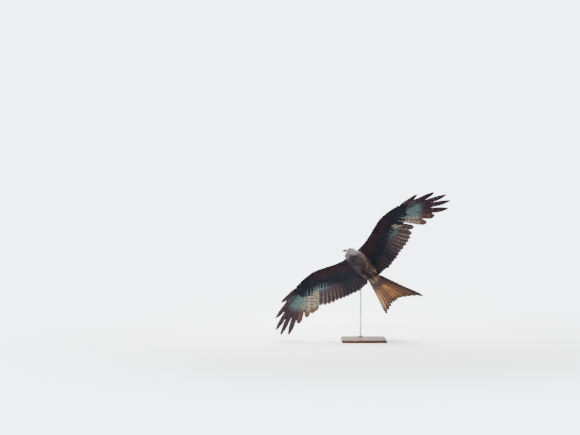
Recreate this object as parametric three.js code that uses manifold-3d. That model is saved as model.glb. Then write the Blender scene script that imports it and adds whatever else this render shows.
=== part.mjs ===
// A life-size red kite, banking with its underside turned to the viewer, on a display stand.
// Millimetres, +Z up. The origin is the centre of the underside of the stand's base.
// The bird has a frame of its own: +X to its right wing, +Y to its bill, +Z out of its back.
import * as THREE from "three";
import { ConvexGeometry } from "three/addons/geometries/ConvexGeometry.js";
import { mergeVertices } from "three/addons/utils/BufferGeometryUtils.js";
import Module from "manifold-3d";

const wasm = await Module();
wasm.setup();

// Where the bird is held, and how it banks
const BIRD_PLACE = new THREE.Vector3(-30.6, -30, 597.4);
const HEADING = 102.2;
const CLIMB = 49.8;
const BANK = 76.1;

// Gap that separate pieces keep, and the least thickness of a feather vane
const GAP = 0.3;
const VANE_THICK = 0.8;
const RACHIS_THICK = 1.3;

const radians = THREE.MathUtils.degToRad;
const mix = THREE.MathUtils.lerp;
const clamp = THREE.MathUtils.clamp;
const smooth = (from, to, x) => THREE.MathUtils.smoothstep(x, from, to);
const point = (x, y, z) => new THREE.Vector3(x, y, z);

// Seeded draws, so that every build gives the same feathers
let seed = 20;
function draw(spread) {
  seed = (seed * 1664525 + 1013904223) % 4294967296;
  return (seed / 4294967296 - 0.5) * 2 * spread;
}

// A smooth function through a few [x, value, value, ...] rows, in the order of x
function through(rows) {
  const slope = (i, k) => {
    const a = rows[Math.max(i - 1, 0)];
    const b = rows[Math.min(i + 1, rows.length - 1)];
    return (b[k] - a[k]) / (b[0] - a[0]);
  };
  return (x, k = 1) => {
    const at = clamp(x, rows[0][0], rows[rows.length - 1][0]);
    let i = 0;
    while (i < rows.length - 2 && at > rows[i + 1][0]) i++;
    const span = rows[i + 1][0] - rows[i][0];
    const t = (at - rows[i][0]) / span;
    const h = t * t * (3 - 2 * t);
    const start = t * (1 - t) * (1 - t) * span * slope(i, k);
    const end = t * t * (t - 1) * span * slope(i + 1, k);
    return mix(rows[i][k], rows[i + 1][k], h) + start + end;
  };
}

// A closed body through rings of as many points each, with both faces of a flat ring split alike
function loft(rings) {
  const n = rings[0].length;
  const last = (rings.length - 1) * n;
  const index = [];
  for (let i = 0; i + 1 < rings.length; i++) {
    for (let j = 0; j < n; j++) {
      const a = i * n + j;
      const b = i * n + ((j + 1) % n);
      if (2 * j < n) index.push(a, b, a + n, b, b + n, a + n);
      else index.push(a, b, b + n, a, b + n, a + n);
    }
  }
  for (let j = 0; 2 * j + 2 < n; j++) {
    const p = n - 1 - j;
    for (const [from, turned] of [[0, false], [last, true]]) {
      const quad = [[j, p, j + 1], [j + 1, p, p - 1]].filter(([a, b, c]) => a !== b && b !== c && a !== c);
      for (const [a, b, c] of quad) index.push(from + a, from + (turned ? c : b), from + (turned ? b : c));
    }
  }
  const g = new THREE.BufferGeometry();
  g.setAttribute("position", new THREE.Float32BufferAttribute(rings.flat().flatMap((p) => p.toArray()), 3));
  g.setIndex(index);
  return g;
}

// A geometry as a solid, its faces turned outwards
function solid(geometry) {
  const bare = geometry.clone();
  for (const name of Object.keys(bare.attributes)) if (name !== "position") bare.deleteAttribute(name);
  const g = mergeVertices(bare, 1e-4);
  const triVerts = new Uint32Array(g.index.array);
  const made = () =>
    new wasm.Manifold(new wasm.Mesh({ numProp: 3, vertProperties: g.attributes.position.array, triVerts }));
  const first = made();
  if (first.volume() > 0) return first;
  for (let i = 0; i < triVerts.length; i += 3) triVerts.subarray(i, i + 3).reverse();
  return made();
}

const joined = (solids) => solids.reduce((a, b) => a.add(b));

// The largest closed surface of a solid
function largest(made) {
  return made.decompose().reduce((a, b) => (b.volume() > a.volume() ? b : a));
}

// The node of a solid, with its finish
function node(name, made, finish) {
  const mesh = largest(made).getMesh();
  const g = new THREE.BufferGeometry();
  g.setAttribute("position", new THREE.BufferAttribute(Float32Array.from(mesh.vertProperties), 3));
  g.setIndex(new THREE.BufferAttribute(Uint32Array.from(mesh.triVerts), 1));
  g.computeVertexNormals();
  const made3d = new THREE.Mesh(g, finish);
  made3d.name = name;
  return made3d;
}

function finish(color, roughness, metalness = 0) {
  return new THREE.MeshStandardMaterial({ color, roughness, metalness });
}

const FINISH = {
  body: finish(0x5a3a28, 0.9),
  head: finish(0xa9a69c, 0.9),
  innerWing: finish(0x33242a, 0.85),
  hand: finish(0x2b2226, 0.85),
  tail: finish(0xa8682f, 0.85),
  bill: finish(0xd2a93a, 0.45),
  eye: finish(0xc9b26a, 0.1),
  foot: finish(0xd6b13c, 0.6),
  base: finish(0x3a2a20, 0.45),
  rod: finish(0x8a8d90, 0.3, 1),
};

// Torso: rows of [forward, centre height, half width, rise of the back, drop of the breast, offset to right]
const TORSO = through([
  [-166, 4, 40, 13, 17, -4],
  [-130, 3, 51, 24, 33, -3],
  [-90, 1, 60, 32, 47, -1],
  [-45, -1, 68, 38, 61, 1],
  [0, -2, 72, 41, 69, 3],
  [34, -1, 71, 40, 64, 4],
  [60, 2, 65, 36, 52, 6],
]);
const TORSO_FROM = -166;
const TORSO_TO = 60;
const TORSO_SIDES = 24;
const TORSO_STEPS = 13;

// One ring of an egg-shaped section, with its own rise above and drop below the centre
function eggRing(forward, [height, half, rise, drop, offset = 0], grow, sides) {
  return Array.from({ length: sides }, (_, j) => {
    const a = ((j + 0.5) / sides) * 2 * Math.PI;
    const tall = Math.cos(a) > 0 ? rise : drop;
    return point(offset + Math.sin(a) * (half + grow), forward, height + Math.cos(a) * (tall + grow));
  });
}

// Rings from one end of a body to the other, grown all round and at both ends
function rings(from, to, steps, grow, ringAt) {
  return Array.from({ length: steps + 1 }, (_, i) => {
    const y = mix(from, to, i / steps);
    const pushed = (i === steps ? grow : 0) - (i === 0 ? grow : 0);
    return ringAt(y, grow, y + pushed);
  });
}

function torsoRing(y, grow, along = y) {
  const size = [1, 2, 3, 4, 5].map((k) => TORSO(y, k));
  return eggRing(along, size, grow, TORSO_SIDES);
}

const torso = (grow) => solid(loft(rings(TORSO_FROM, TORSO_TO, TORSO_STEPS, grow, torsoRing)));

// Head: turned to the bird's right and rolled to keep its left cheek to the viewer
const HEAD_PLACE = point(-1, 115, 0);
const HEAD_TURN = -46.9;
const HEAD_DIP = 2.1;
const HEAD_ROLL = -43.2;
const HEAD_MATRIX = new THREE.Matrix4().compose(
  HEAD_PLACE,
  new THREE.Quaternion().setFromEuler(
    new THREE.Euler(radians(HEAD_DIP), radians(HEAD_ROLL), radians(HEAD_TURN), "ZXY"),
  ),
  point(1, 1, 1),
);
const headSpace = (geometry) => geometry.applyMatrix4(HEAD_MATRIX);

// Skull with its face feathers: rows of [forward, centre height, half width, rise, drop]
const SKULL = through([
  [-34, -1, 11, 10, 11],
  [-29, -1, 19, 16, 18],
  [-15, 0, 25.5, 21, 24],
  [0, 1, 25, 22, 22],
  [11, 1, 21, 19, 18.5],
  [20, -0.5, 14.5, 13, 13],
  [27, -2, 9.5, 8.5, 8.5],
]);
const SKULL_FROM = -34;
const SKULL_TO = 27;
const SKULL_SIDES = 20;
const SKULL_STEPS = 11;
const EYE_RADIUS = 6.4;
const EYE_PLACE = [16.6, 8.5, 3.6];
const LIDS = { radius: 5.4, thick: 1.3, turn: 78, from: [4.2, 0.8, 0] };
const BROW = { half: [4.2, 11, 2.6], dip: 10, from: [1.8, 1.5, 6] };
const GAPE = { from: 9, to: 29, height: -5.2, gap: 0.6, out: 16.5, deep: 8, dip: -2 };

function skullRing(y, grow, along = y) {
  const size = [1, 2, 3, 4].map((k) => SKULL(y, k));
  return eggRing(along, size, grow, SKULL_SIDES);
}

const skull = (grow) => solid(headSpace(loft(rings(SKULL_FROM, SKULL_TO, SKULL_STEPS, grow, skullRing))));

// A place on one side of the head, near that side's eye
function nearEye(side, [out, forward, up]) {
  return [side * (EYE_PLACE[0] + out), EYE_PLACE[1] + forward, EYE_PLACE[2] + up];
}

function eyeBall(side, grow) {
  const g = new THREE.SphereGeometry(EYE_RADIUS + grow, 12, 8);
  g.rotateZ((-side * Math.PI) / 2);
  g.translate(...nearEye(side, [0, 0, 0]));
  return solid(headSpace(g));
}

// The rim of the lids round one eye, and the ridge of the brow over it
function eyeRim(side) {
  const lids = new THREE.TorusGeometry(LIDS.radius, LIDS.thick, 5, 12);
  lids.rotateY(side * radians(LIDS.turn));
  lids.translate(...nearEye(side, LIDS.from));
  const brow = new THREE.SphereGeometry(1, 8, 6);
  brow.scale(...BROW.half);
  brow.rotateX(radians(-BROW.dip));
  brow.translate(...nearEye(side, BROW.from));
  return [solid(headSpace(lids)), solid(headSpace(brow))];
}

// The cut that draws the line of the mouth on one cheek
function gapeLine(side) {
  const g = new THREE.BoxGeometry(GAPE.deep, GAPE.to - GAPE.from, GAPE.gap);
  g.translate(side * GAPE.out, (GAPE.to + GAPE.from) / 2, GAPE.height);
  g.rotateX(radians(-GAPE.dip));
  return solid(headSpace(g));
}

// Bill: points of [forward, height] on a path that hooks down, and [half width, half height] at each
const UPPER_BILL = [[22, 0.8], [32, 1.6], [41, 0.8], [48, -2.4], [52.5, -8.5], [53, -16.5]];
const UPPER_SIZE = [[8.8, 8.6], [8.2, 8.3], [7, 7.8], [5.4, 6.6], [3.4, 4.2], [0.8, 0.9]];
const LOWER_BILL = [[20, -9.2], [31, -9.2], [41, -9.4], [47, -10.6]];
const LOWER_SIZE = [[7.8, 4], [6.8, 4], [5.2, 3.2], [2.2, 1.6]];
const BILL_SIDES = 12;
const NOSTRIL = { at: [6.6, 31.5, 3.4], half: [1.4, 2.2, 1.2] };

function billHalf(path, sizes, grow) {
  const sections = path.map(([y, z], i) => {
    const before = path[Math.max(i - 1, 0)];
    const after = path[Math.min(i + 1, path.length - 1)];
    const lean = Math.atan2(after[1] - before[1], after[0] - before[0]);
    const [wide, tall] = sizes[i].map((size) => size + grow);
    return Array.from({ length: BILL_SIDES }, (_, j) => {
      const a = ((j + 0.5) / BILL_SIDES) * 2 * Math.PI;
      const up = Math.cos(a) * tall;
      return point(Math.sin(a) * wide, y - Math.sin(lean) * up, z + Math.cos(lean) * up);
    });
  });
  return solid(headSpace(loft(sections)));
}

function nostril(side) {
  const [out, forward, up] = NOSTRIL.at;
  const g = new THREE.SphereGeometry(1, 8, 6);
  g.scale(...NOSTRIL.half);
  g.translate(side * out, forward, up);
  return solid(headSpace(g));
}

// Neck: its feathers are drawn tight from the breast over the crop to the nape and chin
const NECK = { inTorso: 52, inSkull: [-30, -12], chin: 17, chinBelow: -4, sunk: 1.5 };
const CROP = { at: [18, 97, -12], turn: -14, half: 53, rise: 35, drop: 39, sides: 20 };
const THROAT = { at: [38, 109, -15], radius: 24 };

function ballPoints(centre, radius) {
  const ball = new THREE.IcosahedronGeometry(radius, 1).getAttribute("position");
  return Array.from({ length: ball.count }, (_, i) => point(0, 0, 0).fromBufferAttribute(ball, i).add(centre));
}

function neck(grow) {
  const inset = grow - NECK.sunk;
  const crop = eggRing(0, [0, CROP.half, CROP.rise, CROP.drop], inset, CROP.sides).map((p) =>
    p.applyAxisAngle(point(0, 0, 1), radians(CROP.turn)).add(point(...CROP.at)),
  );
  const nape = NECK.inSkull.flatMap((y) => skullRing(y, inset));
  const chin = skullRing(NECK.chin, inset).filter((p) => p.z < NECK.chinBelow);
  const throat = ballPoints(point(...THROAT.at), THROAT.radius + inset);
  const upper = [...nape, ...chin].map((p) => p.applyMatrix4(HEAD_MATRIX)).concat(throat);
  const lower = torsoRing(NECK.inTorso, inset);
  return joined([[...lower, ...crop], [...crop, ...upper]].map((points) => solid(new ConvexGeometry(points))));
}

// Thigh with its feathers, drawn up along the belly, and the foot folded back under the tail
const THIGH = {
  path: [[27, -30, -44], [29, -71, -47], [19, -112, -43]],
  radii: [9, 17, 8.5],
  sides: 12,
  steps: 7,
};
const ANKLE = [19, -108, -42.5];
const KNUCKLE = [15, -151, -33];
const SHANK = { sag: 1.5, radii: [4.6, 4, 5.4], sides: 7, steps: 3 };
const TOES = [
  { out: -9, back: 27, up: 2.5, thick: 3.4 },
  { out: 0, back: 33, up: 2, thick: 3.6 },
  { out: 9, back: 27, up: 2.5, thick: 3.4 },
  { out: 1, back: 15, up: -7, thick: 3.4 },
];
const TOE = { thick: 4.4, taper: 0.8, sag: 5, splay: 0.25, sides: 6, steps: 3 };
const CLAW = {
  back: 5,
  up: 6.8,
  sag: [-2.2, -1.6],
  rooted: 0.15,
  radii: [2.5, 1.7, 0.35],
  sides: 5,
  steps: 2,
};

// A round limb through points, with a radius at each
function limb(points, { radii, sides, steps }) {
  const path = new THREE.CatmullRomCurve3(points);
  const size = through(radii.map((r, i) => [i / (radii.length - 1), r]));
  const upright = point(0.13, 0.05, 1);
  const sections = Array.from({ length: steps + 1 }, (_, i) => {
    const c = path.getPoint(i / steps);
    const along = path.getTangent(i / steps);
    const right = along.clone().cross(upright).normalize();
    const up = right.clone().cross(along);
    const r = size(i / steps);
    return Array.from({ length: sides }, (__, j) => {
      const a = ((j + 0.5) / sides) * 2 * Math.PI;
      return c.clone().addScaledVector(right, Math.sin(a) * r).addScaledVector(up, Math.cos(a) * r);
    });
  });
  return solid(loft(sections));
}

const onSide = (side, [out, forward, up]) => point(side * out, forward, up);
const between = (a, b, share = 0.5) => a.clone().lerp(b, share);

function thigh(side, grow) {
  const radii = THIGH.radii.map((r) => r + grow);
  return limb(THIGH.path.map((p) => onSide(side, p)), { ...THIGH, radii });
}

function foot(side) {
  const ankle = onSide(side, ANKLE);
  const knuckle = onSide(side, KNUCKLE);
  const shank = limb([ankle, between(ankle, knuckle).add(point(0, 0, -SHANK.sag)), knuckle], SHANK);
  const toes = TOES.flatMap((toe) => {
    const splay = toe.out * TOE.splay;
    const end = knuckle.clone().add(point(side * toe.out, -toe.back, toe.up));
    const bend = between(knuckle, end).add(point(side * splay, 0, -TOE.sag));
    const claw = end.clone().add(point(-side * splay, -CLAW.back, CLAW.up));
    const hook = between(end, claw).add(point(0, ...CLAW.sag));
    return [
      limb([knuckle, bend, end], { ...TOE, radii: [TOE.thick, toe.thick, toe.thick * TOE.taper] }),
      limb([between(end, bend, CLAW.rooted), hook, claw], CLAW),
    ];
  });
  return joined([shank, ...toes]);
}

// Wing, seen on its own plane: where the flesh of arm and hand begins and ends, its height and thickness.
// Rows of [out, leading edge, trailing edge, height, thickness].
const WING = through([
  [26, 80, -66, 8, 36],
  [64, 87, -48, 13, 34],
  [110, 91, -22, 19, 27],
  [176, 110, 10, 26, 20],
  [250, 138, 46, 30, 17],
  [300, 155, 66, 30, 15],
  [340, 162, 84, 28, 14],
  [390, 164, 100, 23, 12],
  [450, 159, 120, 14, 9],
  [494, 151, 131, 7, 6],
  [660, 120, 131, -6, 2],
  [840, 100, 131, 2, 2],
]);
const WING_TO = 494;
const CORE_SPANS = [26, 50, 80, 120, 165, 210, 255, 300, 345, 390, 440, WING_TO];
const CORE_SHARES = [0, 0.04, 0.18, 0.42, 0.7, 1];
const CORE_EDGE = 2.4;
const CORE_LEAST = 0.5;
const SHEET_DROP = 11;
const SHEET_REACH = 190;

// Height of the sheet of flight feathers, which sinks to the rear
function sheet(x, y) {
  const back = Math.max(0, WING(Math.min(x, WING_TO), 2) - y) / SHEET_REACH;
  return WING(x, 3) - SHEET_DROP * back * back;
}

// Half thickness of the flesh at a share of its chord, thickest near the leading edge
function coreHalf(x, share) {
  const round = Math.min(Math.sqrt(share) * (1 - share) * 2.6, 1);
  return Math.max((WING(x, 4) / 2) * round + CORE_EDGE * smooth(0.2, 1, share), CORE_LEAST);
}

function wingCore(side) {
  const sections = CORE_SPANS.map((x) => {
    const row = (way) =>
      CORE_SHARES.map((share) => {
        const y = mix(WING(x, 1), WING(x, 2), share);
        return point(side * x, y, sheet(x, y) + way * coreHalf(x, share));
      });
    return [...row(1), ...row(-1).reverse()];
  });
  return solid(loft(sections));
}

// Outlines of vanes, as the width at a share of the length, against the widest: a fingered tip is cut in
const OUTLINE = {
  finger(t, narrow) {
    const base = mix(0.3, 1, smooth(0, 0.22, t));
    const cut = mix(1, narrow, smooth(0.44, 0.66, t));
    return base * cut * Math.sqrt(1 - 0.94 * smooth(0.72, 1.04, t));
  },
  round(t) {
    const base = mix(0.35, 1, smooth(0, 0.25, t));
    const end = clamp((t - 0.84) / 0.16, 0, 1);
    return base * Math.sqrt(1 - 0.93 * end * end);
  },
};
const STATIONS = {
  finger: [0, 0.24, 0.46, 0.62, 0.88, 1],
  round: [0, 0.24, 0.9, 1],
  covert: [0, 0.76, 1],
};

// One feather vane as a thin closed blade, with its leading edge rolled up, so that neighbours overlap as tiles.
// It has a root, a tip, a bend, a width, an outline with stations, the share of the width ahead of its shaft
// (lead), a roll in degrees, a height at each place, and a ridge where its shaft stands out.
function vane(side, v) {
  const from = point(...v.root, 0);
  const to = point(...v.tip, 0);
  const ahead = point(from.y - to.y, to.x - from.x, 0).normalize();
  const middle = from.clone().lerp(to, 0.5).addScaledVector(ahead, v.bend);
  const path = new THREE.QuadraticBezierCurve3(from, middle, to);
  const sections = v.stations.map((t) => {
    const c = path.getPoint(t);
    const tangent = path.getTangent(t);
    const leading = point(-tangent.y, tangent.x, 0).normalize();
    const lift = v.height(c.x, c.y, t);
    const wide = v.width * v.outline(t, v.narrow);
    const tilt = Math.tan(radians(v.roll));
    const at = (across, thick) =>
      point(side * (c.x + leading.x * across), c.y + leading.y * across, lift + across * tilt + thick);
    const front = wide * v.lead;
    const rear = -wide * (1 - v.lead);
    const edge = VANE_THICK / 2;
    if (!v.ridge) return [at(front, edge), at(rear, edge), at(rear, -edge), at(front, -edge)];
    const rib = RACHIS_THICK / 2;
    return [at(front, edge), at(0, rib), at(rear, edge), at(rear, -edge), at(0, -rib), at(front, -edge)];
  });
  return solid(loft(sections));
}

// Primaries, from the outermost: [length, sweep back from the wing's line (degrees), 1 if fingered]
const PRIMARIES = [
  [177, 1.9, 1],
  [305, 13.3, 1],
  [392, 20.7, 1],
  [418, 26.4, 1],
  [403, 32.6, 1],
  [310, 38.4, 0],
  [264, 47.1, 0],
  [240, 53.5, 0],
  [235, 53.1, 0],
  [232, 52.3, 0],
];
const PRIMARY_ROOTS = through([
  [0, 478, 143],
  [5, 416, 124],
  [9, 350, 104],
]);
const PRIMARY_WIDTHS = [36, 47, 47, 47, 47, 47, 47, 47, 47, 47];
const PRIMARY_BEND = { outer: 10, inner: 2 };
const PRIMARY_LEAD = { outer: 0.3, inner: 0.4 };
const FINGER_NARROW = [0.7, 0.7, 0.74, 0.84, 1];
// The left wing's inner primaries are still growing: [share of the length, share of the width, turn ahead]
const GROWING = { 7: [1, 0.56, 6.5], 8: [0.5, 0.9, 0], 9: [0.42, 0.9, 0] };
const GROWN = [1, 1, 0];
// Twelve secondaries and three tertials, from the outermost, with the left wing's first spread further out
const SECONDARIES = 12;
const SECONDARY_ROOTS = through([
  [0, 332, 96],
  [5, 232, 54],
  [11, 112, -4],
]);
const SECONDARY_TIPS = through([
  [0, 467, -47],
  [1, 441, -75],
  [3, 384, -107],
  [6, 292, -136],
  [9, 206, -162],
  [11, 147, -173],
]);
const SECONDARY = { width: 46, bend: 3, lead: 0.38, leftFirst: 16 };
const TERTIALS = 3;
const TERTIAL_ROOTS = through([[0, 94, -12], [2, 62, -30]]);
const TERTIAL_TIPS = through([[0, 118, -171], [2, 69, -171]]);
const VANE_ROLL = 5;

function primaries(side) {
  return PRIMARIES.map(([length, sweep, fingered], i) => {
    const root = [PRIMARY_ROOTS(i, 1), PRIMARY_ROOTS(i, 2)];
    const [longShare, wideShare, turn] = (side < 0 && GROWING[i]) || GROWN;
    const long = longShare * length + draw(2);
    const a = radians(sweep - turn + draw(0.3));
    const inward = i / (PRIMARIES.length - 1);
    return vane(side, {
      root,
      tip: [root[0] + long * Math.cos(a), root[1] - long * Math.sin(a)],
      bend: mix(PRIMARY_BEND.outer, PRIMARY_BEND.inner, inward),
      width: wideShare * PRIMARY_WIDTHS[i],
      narrow: FINGER_NARROW[i],
      outline: fingered ? OUTLINE.finger : OUTLINE.round,
      stations: fingered ? STATIONS.finger : STATIONS.round,
      lead: mix(PRIMARY_LEAD.outer, PRIMARY_LEAD.inner, inward),
      roll: VANE_ROLL,
      height: sheet,
      ridge: true,
    });
  });
}

function secondaries(side) {
  return Array.from({ length: SECONDARIES + TERTIALS }, (_, i) => {
    const third = i >= SECONDARIES;
    const n = third ? i - SECONDARIES : i;
    const roots = third ? TERTIAL_ROOTS : SECONDARY_ROOTS;
    const tips = third ? TERTIAL_TIPS : SECONDARY_TIPS;
    const spread = side < 0 && i === 0 ? SECONDARY.leftFirst : 0;
    return vane(side, {
      ...SECONDARY,
      root: [roots(n, 1), roots(n, 2)],
      tip: [tips(n, 1) + draw(2) + spread, tips(n, 2) + draw(3)],
      outline: OUTLINE.round,
      stations: STATIONS.round,
      roll: VANE_ROLL,
      height: sheet,
    });
  });
}

// Greater and median coverts: how many, where their roots and tips lie behind the flesh's edge, and how far
// they stand off the sheet of flight feathers
const COVERTS = [
  { hand: 5, arm: 8, root: -20, tip: 58, width: 42, clear: 4.2 },
  { hand: 3, arm: 6, root: -44, tip: 16, width: 50, clear: 6.6 },
];
const HAND = [352, 486];
const ARM = [84, 330];
const COVERT = { bend: 1, lead: 0.45, roll: 3.6, sunk: 1.2, leastShare: 0.15 };
const COVERT_LEAN = through([[60, 84], [340, 55], [430, 32], [490, 8]]);

function coverts(side, row, face, [from, to], count) {
  return Array.from({ length: count }, (_, i) => {
    const x = mix(to, from, (i + 0.5) / count);
    const a = radians(COVERT_LEAN(x));
    const away = [Math.cos(a), -Math.sin(a)];
    const edge = WING(x, 2);
    const root = [x + row.root * away[0], edge + row.root * away[1]];
    const long = row.tip - row.root + draw(2);
    const share = clamp(1 + row.root / (WING(x, 1) - edge), COVERT.leastShare, 1);
    const sunk = coreHalf(x, share) - COVERT.sunk;
    return vane(side, {
      ...COVERT,
      root,
      tip: [root[0] + long * away[0], root[1] + long * away[1]],
      width: row.width,
      outline: OUTLINE.round,
      stations: STATIONS.covert,
      height: (px, py, t) => sheet(px, py) + face * mix(sunk, row.clear, smooth(0, 0.9, t)),
    });
  });
}

// The small feathers of the thumb, held close along the leading edge of the hand
const THUMB = { root: [346, 150], tip: [424, 160], bend: 5, width: 14, lead: 0.5, roll: 8, over: 3 };

function thumb(side) {
  const height = (x, y) => sheet(x, y) + THUMB.over;
  return vane(side, { ...THUMB, outline: OUTLINE.round, stations: STATIONS.covert, height });
}

// The line on which hand and arm part: through the wrist, then between the first primary and secondary
const PARTING_AHEAD = [[326, 260], [346, 88]];
const PARTING_BETWEEN = { 1: [484, -62], [-1]: [514, -50] };
const PARTING_REAR = [560, -160];
const BEYOND_TIP = 1000;
const BEYOND_FACES = 150;

function handRegion(side, gap) {
  const line = [...PARTING_AHEAD, PARTING_BETWEEN[side], PARTING_REAR].map(([x, y]) => [x + gap / 2, y]);
  const round = [[BEYOND_TIP, PARTING_REAR[1]], [BEYOND_TIP, PARTING_AHEAD[0][1]]];
  const outline = new THREE.Shape([...line, ...round].map(([x, y]) => new THREE.Vector2(side * x, y)));
  const g = new THREE.ExtrudeGeometry(outline, { depth: 2 * BEYOND_FACES, bevelEnabled: false });
  g.translate(0, 0, -BEYOND_FACES);
  return solid(g);
}

// Tail: twelve feathers in a frame of their own, yawed, raised and twisted as the bird steers
const TAIL_PLACE = point(-2, -128, 3);
const TAIL_YAW = -7.4;
const TAIL_RAISE = 8.9;
const TAIL_TWIST = -37.2;
const TAIL_MATRIX = new THREE.Matrix4().compose(
  TAIL_PLACE,
  new THREE.Quaternion().setFromEuler(
    new THREE.Euler(radians(-TAIL_RAISE), radians(TAIL_TWIST), radians(TAIL_YAW), "ZXY"),
  ),
  point(1, 1, 1),
);
// From the middle pair out: length of each feather, and the spread of the outermost one in degrees
const TAIL_LENGTHS = [305, 311, 324, 344, 371, 406];
const TAIL_SPREAD = 25.6;
const TAIL_WIDTH = { middle: 47, outer: 39 };
const TAIL_LEAD = { middle: 0.5, outer: 0.36 };
const TAIL_BEND = -22;
const TAIL_ROLL = 4.6;
const TAIL_ROOT = 34;
const TAIL_SINK = 30;
// One of the middle pair lies on the other
const TAIL_TOP = { over: 1.4, otherRoll: 3.4 };

function tailFeathers() {
  return [-1, 1].flatMap((side) =>
    TAIL_LENGTHS.map((length, i) => {
      const share = (i + 0.5) / TAIL_LENGTHS.length;
      const a = radians(TAIL_SPREAD * share);
      const root = [TAIL_ROOT * share, TAIL_SINK];
      const long = length + TAIL_SINK + draw(2);
      return vane(side, {
        root,
        tip: [root[0] + long * Math.sin(a), root[1] - long * Math.cos(a)],
        bend: TAIL_BEND * share,
        width: mix(TAIL_WIDTH.middle, TAIL_WIDTH.outer, share),
        outline: OUTLINE.round,
        stations: STATIONS.round,
        lead: mix(TAIL_LEAD.middle, TAIL_LEAD.outer, share),
        roll: side > 0 && i === 0 ? TAIL_TOP.otherRoll : TAIL_ROLL,
        height: () => (side < 0 && i === 0 ? TAIL_TOP.over : 0),
        ridge: true,
      });
    }),
  );
}

// Coverts over and under the root of the tail, each pair lying under the next one in
const TAIL_COVERTS = { count: 7, spread: 0.72, rootOut: 20, rootAt: 4, width: 34, lead: 0.5, roll: 0, bend: 0 };
const TAIL_COVERT_LONG = { middle: 118, side: 96, moreBelow: 22 };
const TAIL_COVERT_STEP = { root: [7, 1.5], tip: [9.5, 1.2] };

function tailCoverts(face) {
  const half = (TAIL_COVERTS.count - 1) / 2;
  const { root: rootStep, tip: tipStep } = TAIL_COVERT_STEP;
  return Array.from({ length: TAIL_COVERTS.count }, (_, i) => {
    const share = (i - half) / half;
    const order = Math.abs(i - half);
    const a = radians(TAIL_SPREAD * TAIL_COVERTS.spread * share);
    const root = [TAIL_COVERTS.rootOut * share, TAIL_COVERTS.rootAt];
    const shown = mix(TAIL_COVERT_LONG.middle, TAIL_COVERT_LONG.side, Math.abs(share));
    const long = shown + (face < 0 ? TAIL_COVERT_LONG.moreBelow : 0);
    const from = rootStep[0] - order * rootStep[1];
    const to = tipStep[0] - order * tipStep[1];
    return vane(1, {
      ...TAIL_COVERTS,
      root,
      tip: [root[0] + long * Math.sin(a), root[1] - long * Math.cos(a)],
      outline: OUTLINE.round,
      stations: STATIONS.covert,
      height: (x, y, t) => face * mix(from, to, t),
    });
  });
}

// The flesh of the tail: rows of [forward, half width, half height]
const TAIL_CORE = [[26, 24, 9], [-10, 42, 12], [-42, 54, 9], [-76, 52, 4.5]];
const TAIL_CORE_SIDES = 16;

const tailCore = () =>
  solid(loft(TAIL_CORE.map(([y, wide, tall]) => eggRing(y, [0, wide, tall, tall], 0, TAIL_CORE_SIDES))));

// Stand: a wooden base, a steel post behind the bird and an arm into its back
const BASE = { wide: 340, deep: 280, thick: 20, corner: 18, bevel: 3 };
const COLLAR = { radius: 20, thick: 8, sides: 32 };
const POST = { radius: 7, behind: 88, over: 14, sides: 20 };
const ROD = { radius: 5.5, sunk: 14, sides: 20 };
const BACK_POINT = point(0, -20, 38);

function standBase() {
  const w = BASE.wide / 2 - BASE.bevel;
  const d = BASE.deep / 2 - BASE.bevel;
  const r = BASE.corner - BASE.bevel;
  const s = new THREE.Shape();
  s.absarc(w - r, d - r, r, 0, Math.PI / 2);
  s.absarc(r - w, d - r, r, Math.PI / 2, Math.PI);
  s.absarc(r - w, r - d, r, Math.PI, Math.PI * 1.5);
  s.absarc(w - r, r - d, r, Math.PI * 1.5, Math.PI * 2);
  const g = new THREE.ExtrudeGeometry(s, {
    depth: BASE.thick - 2 * BASE.bevel,
    bevelThickness: BASE.bevel,
    bevelSize: BASE.bevel,
    bevelSegments: 2,
    curveSegments: 4,
  });
  g.translate(0, 0, BASE.bevel);
  return solid(g);
}

// A straight rod from one point to another
function rod({ radius, sides }, from, to, grow = 0) {
  const g = new THREE.CylinderGeometry(radius + grow, radius + grow, from.distanceTo(to), sides);
  const along = to.clone().sub(from).normalize();
  g.applyQuaternion(new THREE.Quaternion().setFromUnitVectors(point(0, 1, 0), along));
  g.translate(...between(from, to).toArray());
  return solid(g);
}

// The bird, in its own frame: each piece is cut back from those that carry it
const BIRD_TURN = new THREE.Euler(radians(CLIMB), radians(BANK), radians(HEADING), "ZXY");
const EYE_SOCKET = 3.5;
const BILL_CLEAR = 1;

const bird = new THREE.Group();
bird.position.copy(BIRD_PLACE);
bird.quaternion.setFromEuler(BIRD_TURN);

const torsoRoom = torso(GAP);
const skullRoom = skull(GAP);
const upperBill = billHalf(UPPER_BILL, UPPER_SIZE, 0);
const upperBillRoom = billHalf(UPPER_BILL, UPPER_SIZE, GAP);
const lowerBill = billHalf(LOWER_BILL, LOWER_SIZE, 0);

let face = joined([skull(0), ...eyeRim(1), ...eyeRim(-1)]);
for (const side of [1, -1]) face = face.subtract(eyeBall(side, GAP)).subtract(gapeLine(side));
bird.add(node("head", face, FINISH.head));
bird.add(node("eye_right", eyeBall(1, 0), FINISH.eye));
bird.add(node("eye_left", eyeBall(-1, 0), FINISH.eye));
const nostrils = joined([nostril(1), nostril(-1)]);
bird.add(node("bill_upper", upperBill.subtract(skullRoom).subtract(nostrils), FINISH.bill));
bird.add(node("bill_lower", lowerBill.subtract(skullRoom).subtract(upperBillRoom), FINISH.bill));

const eyeRoom = joined([eyeBall(1, EYE_SOCKET), eyeBall(-1, EYE_SOCKET)]);
const faceRoom = joined([skullRoom, eyeRoom, billHalf(LOWER_BILL, LOWER_SIZE, BILL_CLEAR)]);
bird.add(node("neck", neck(0).subtract(torsoRoom).subtract(faceRoom), FINISH.head));
const trunkRoom = joined([torsoRoom, neck(GAP), skullRoom]);

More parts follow.
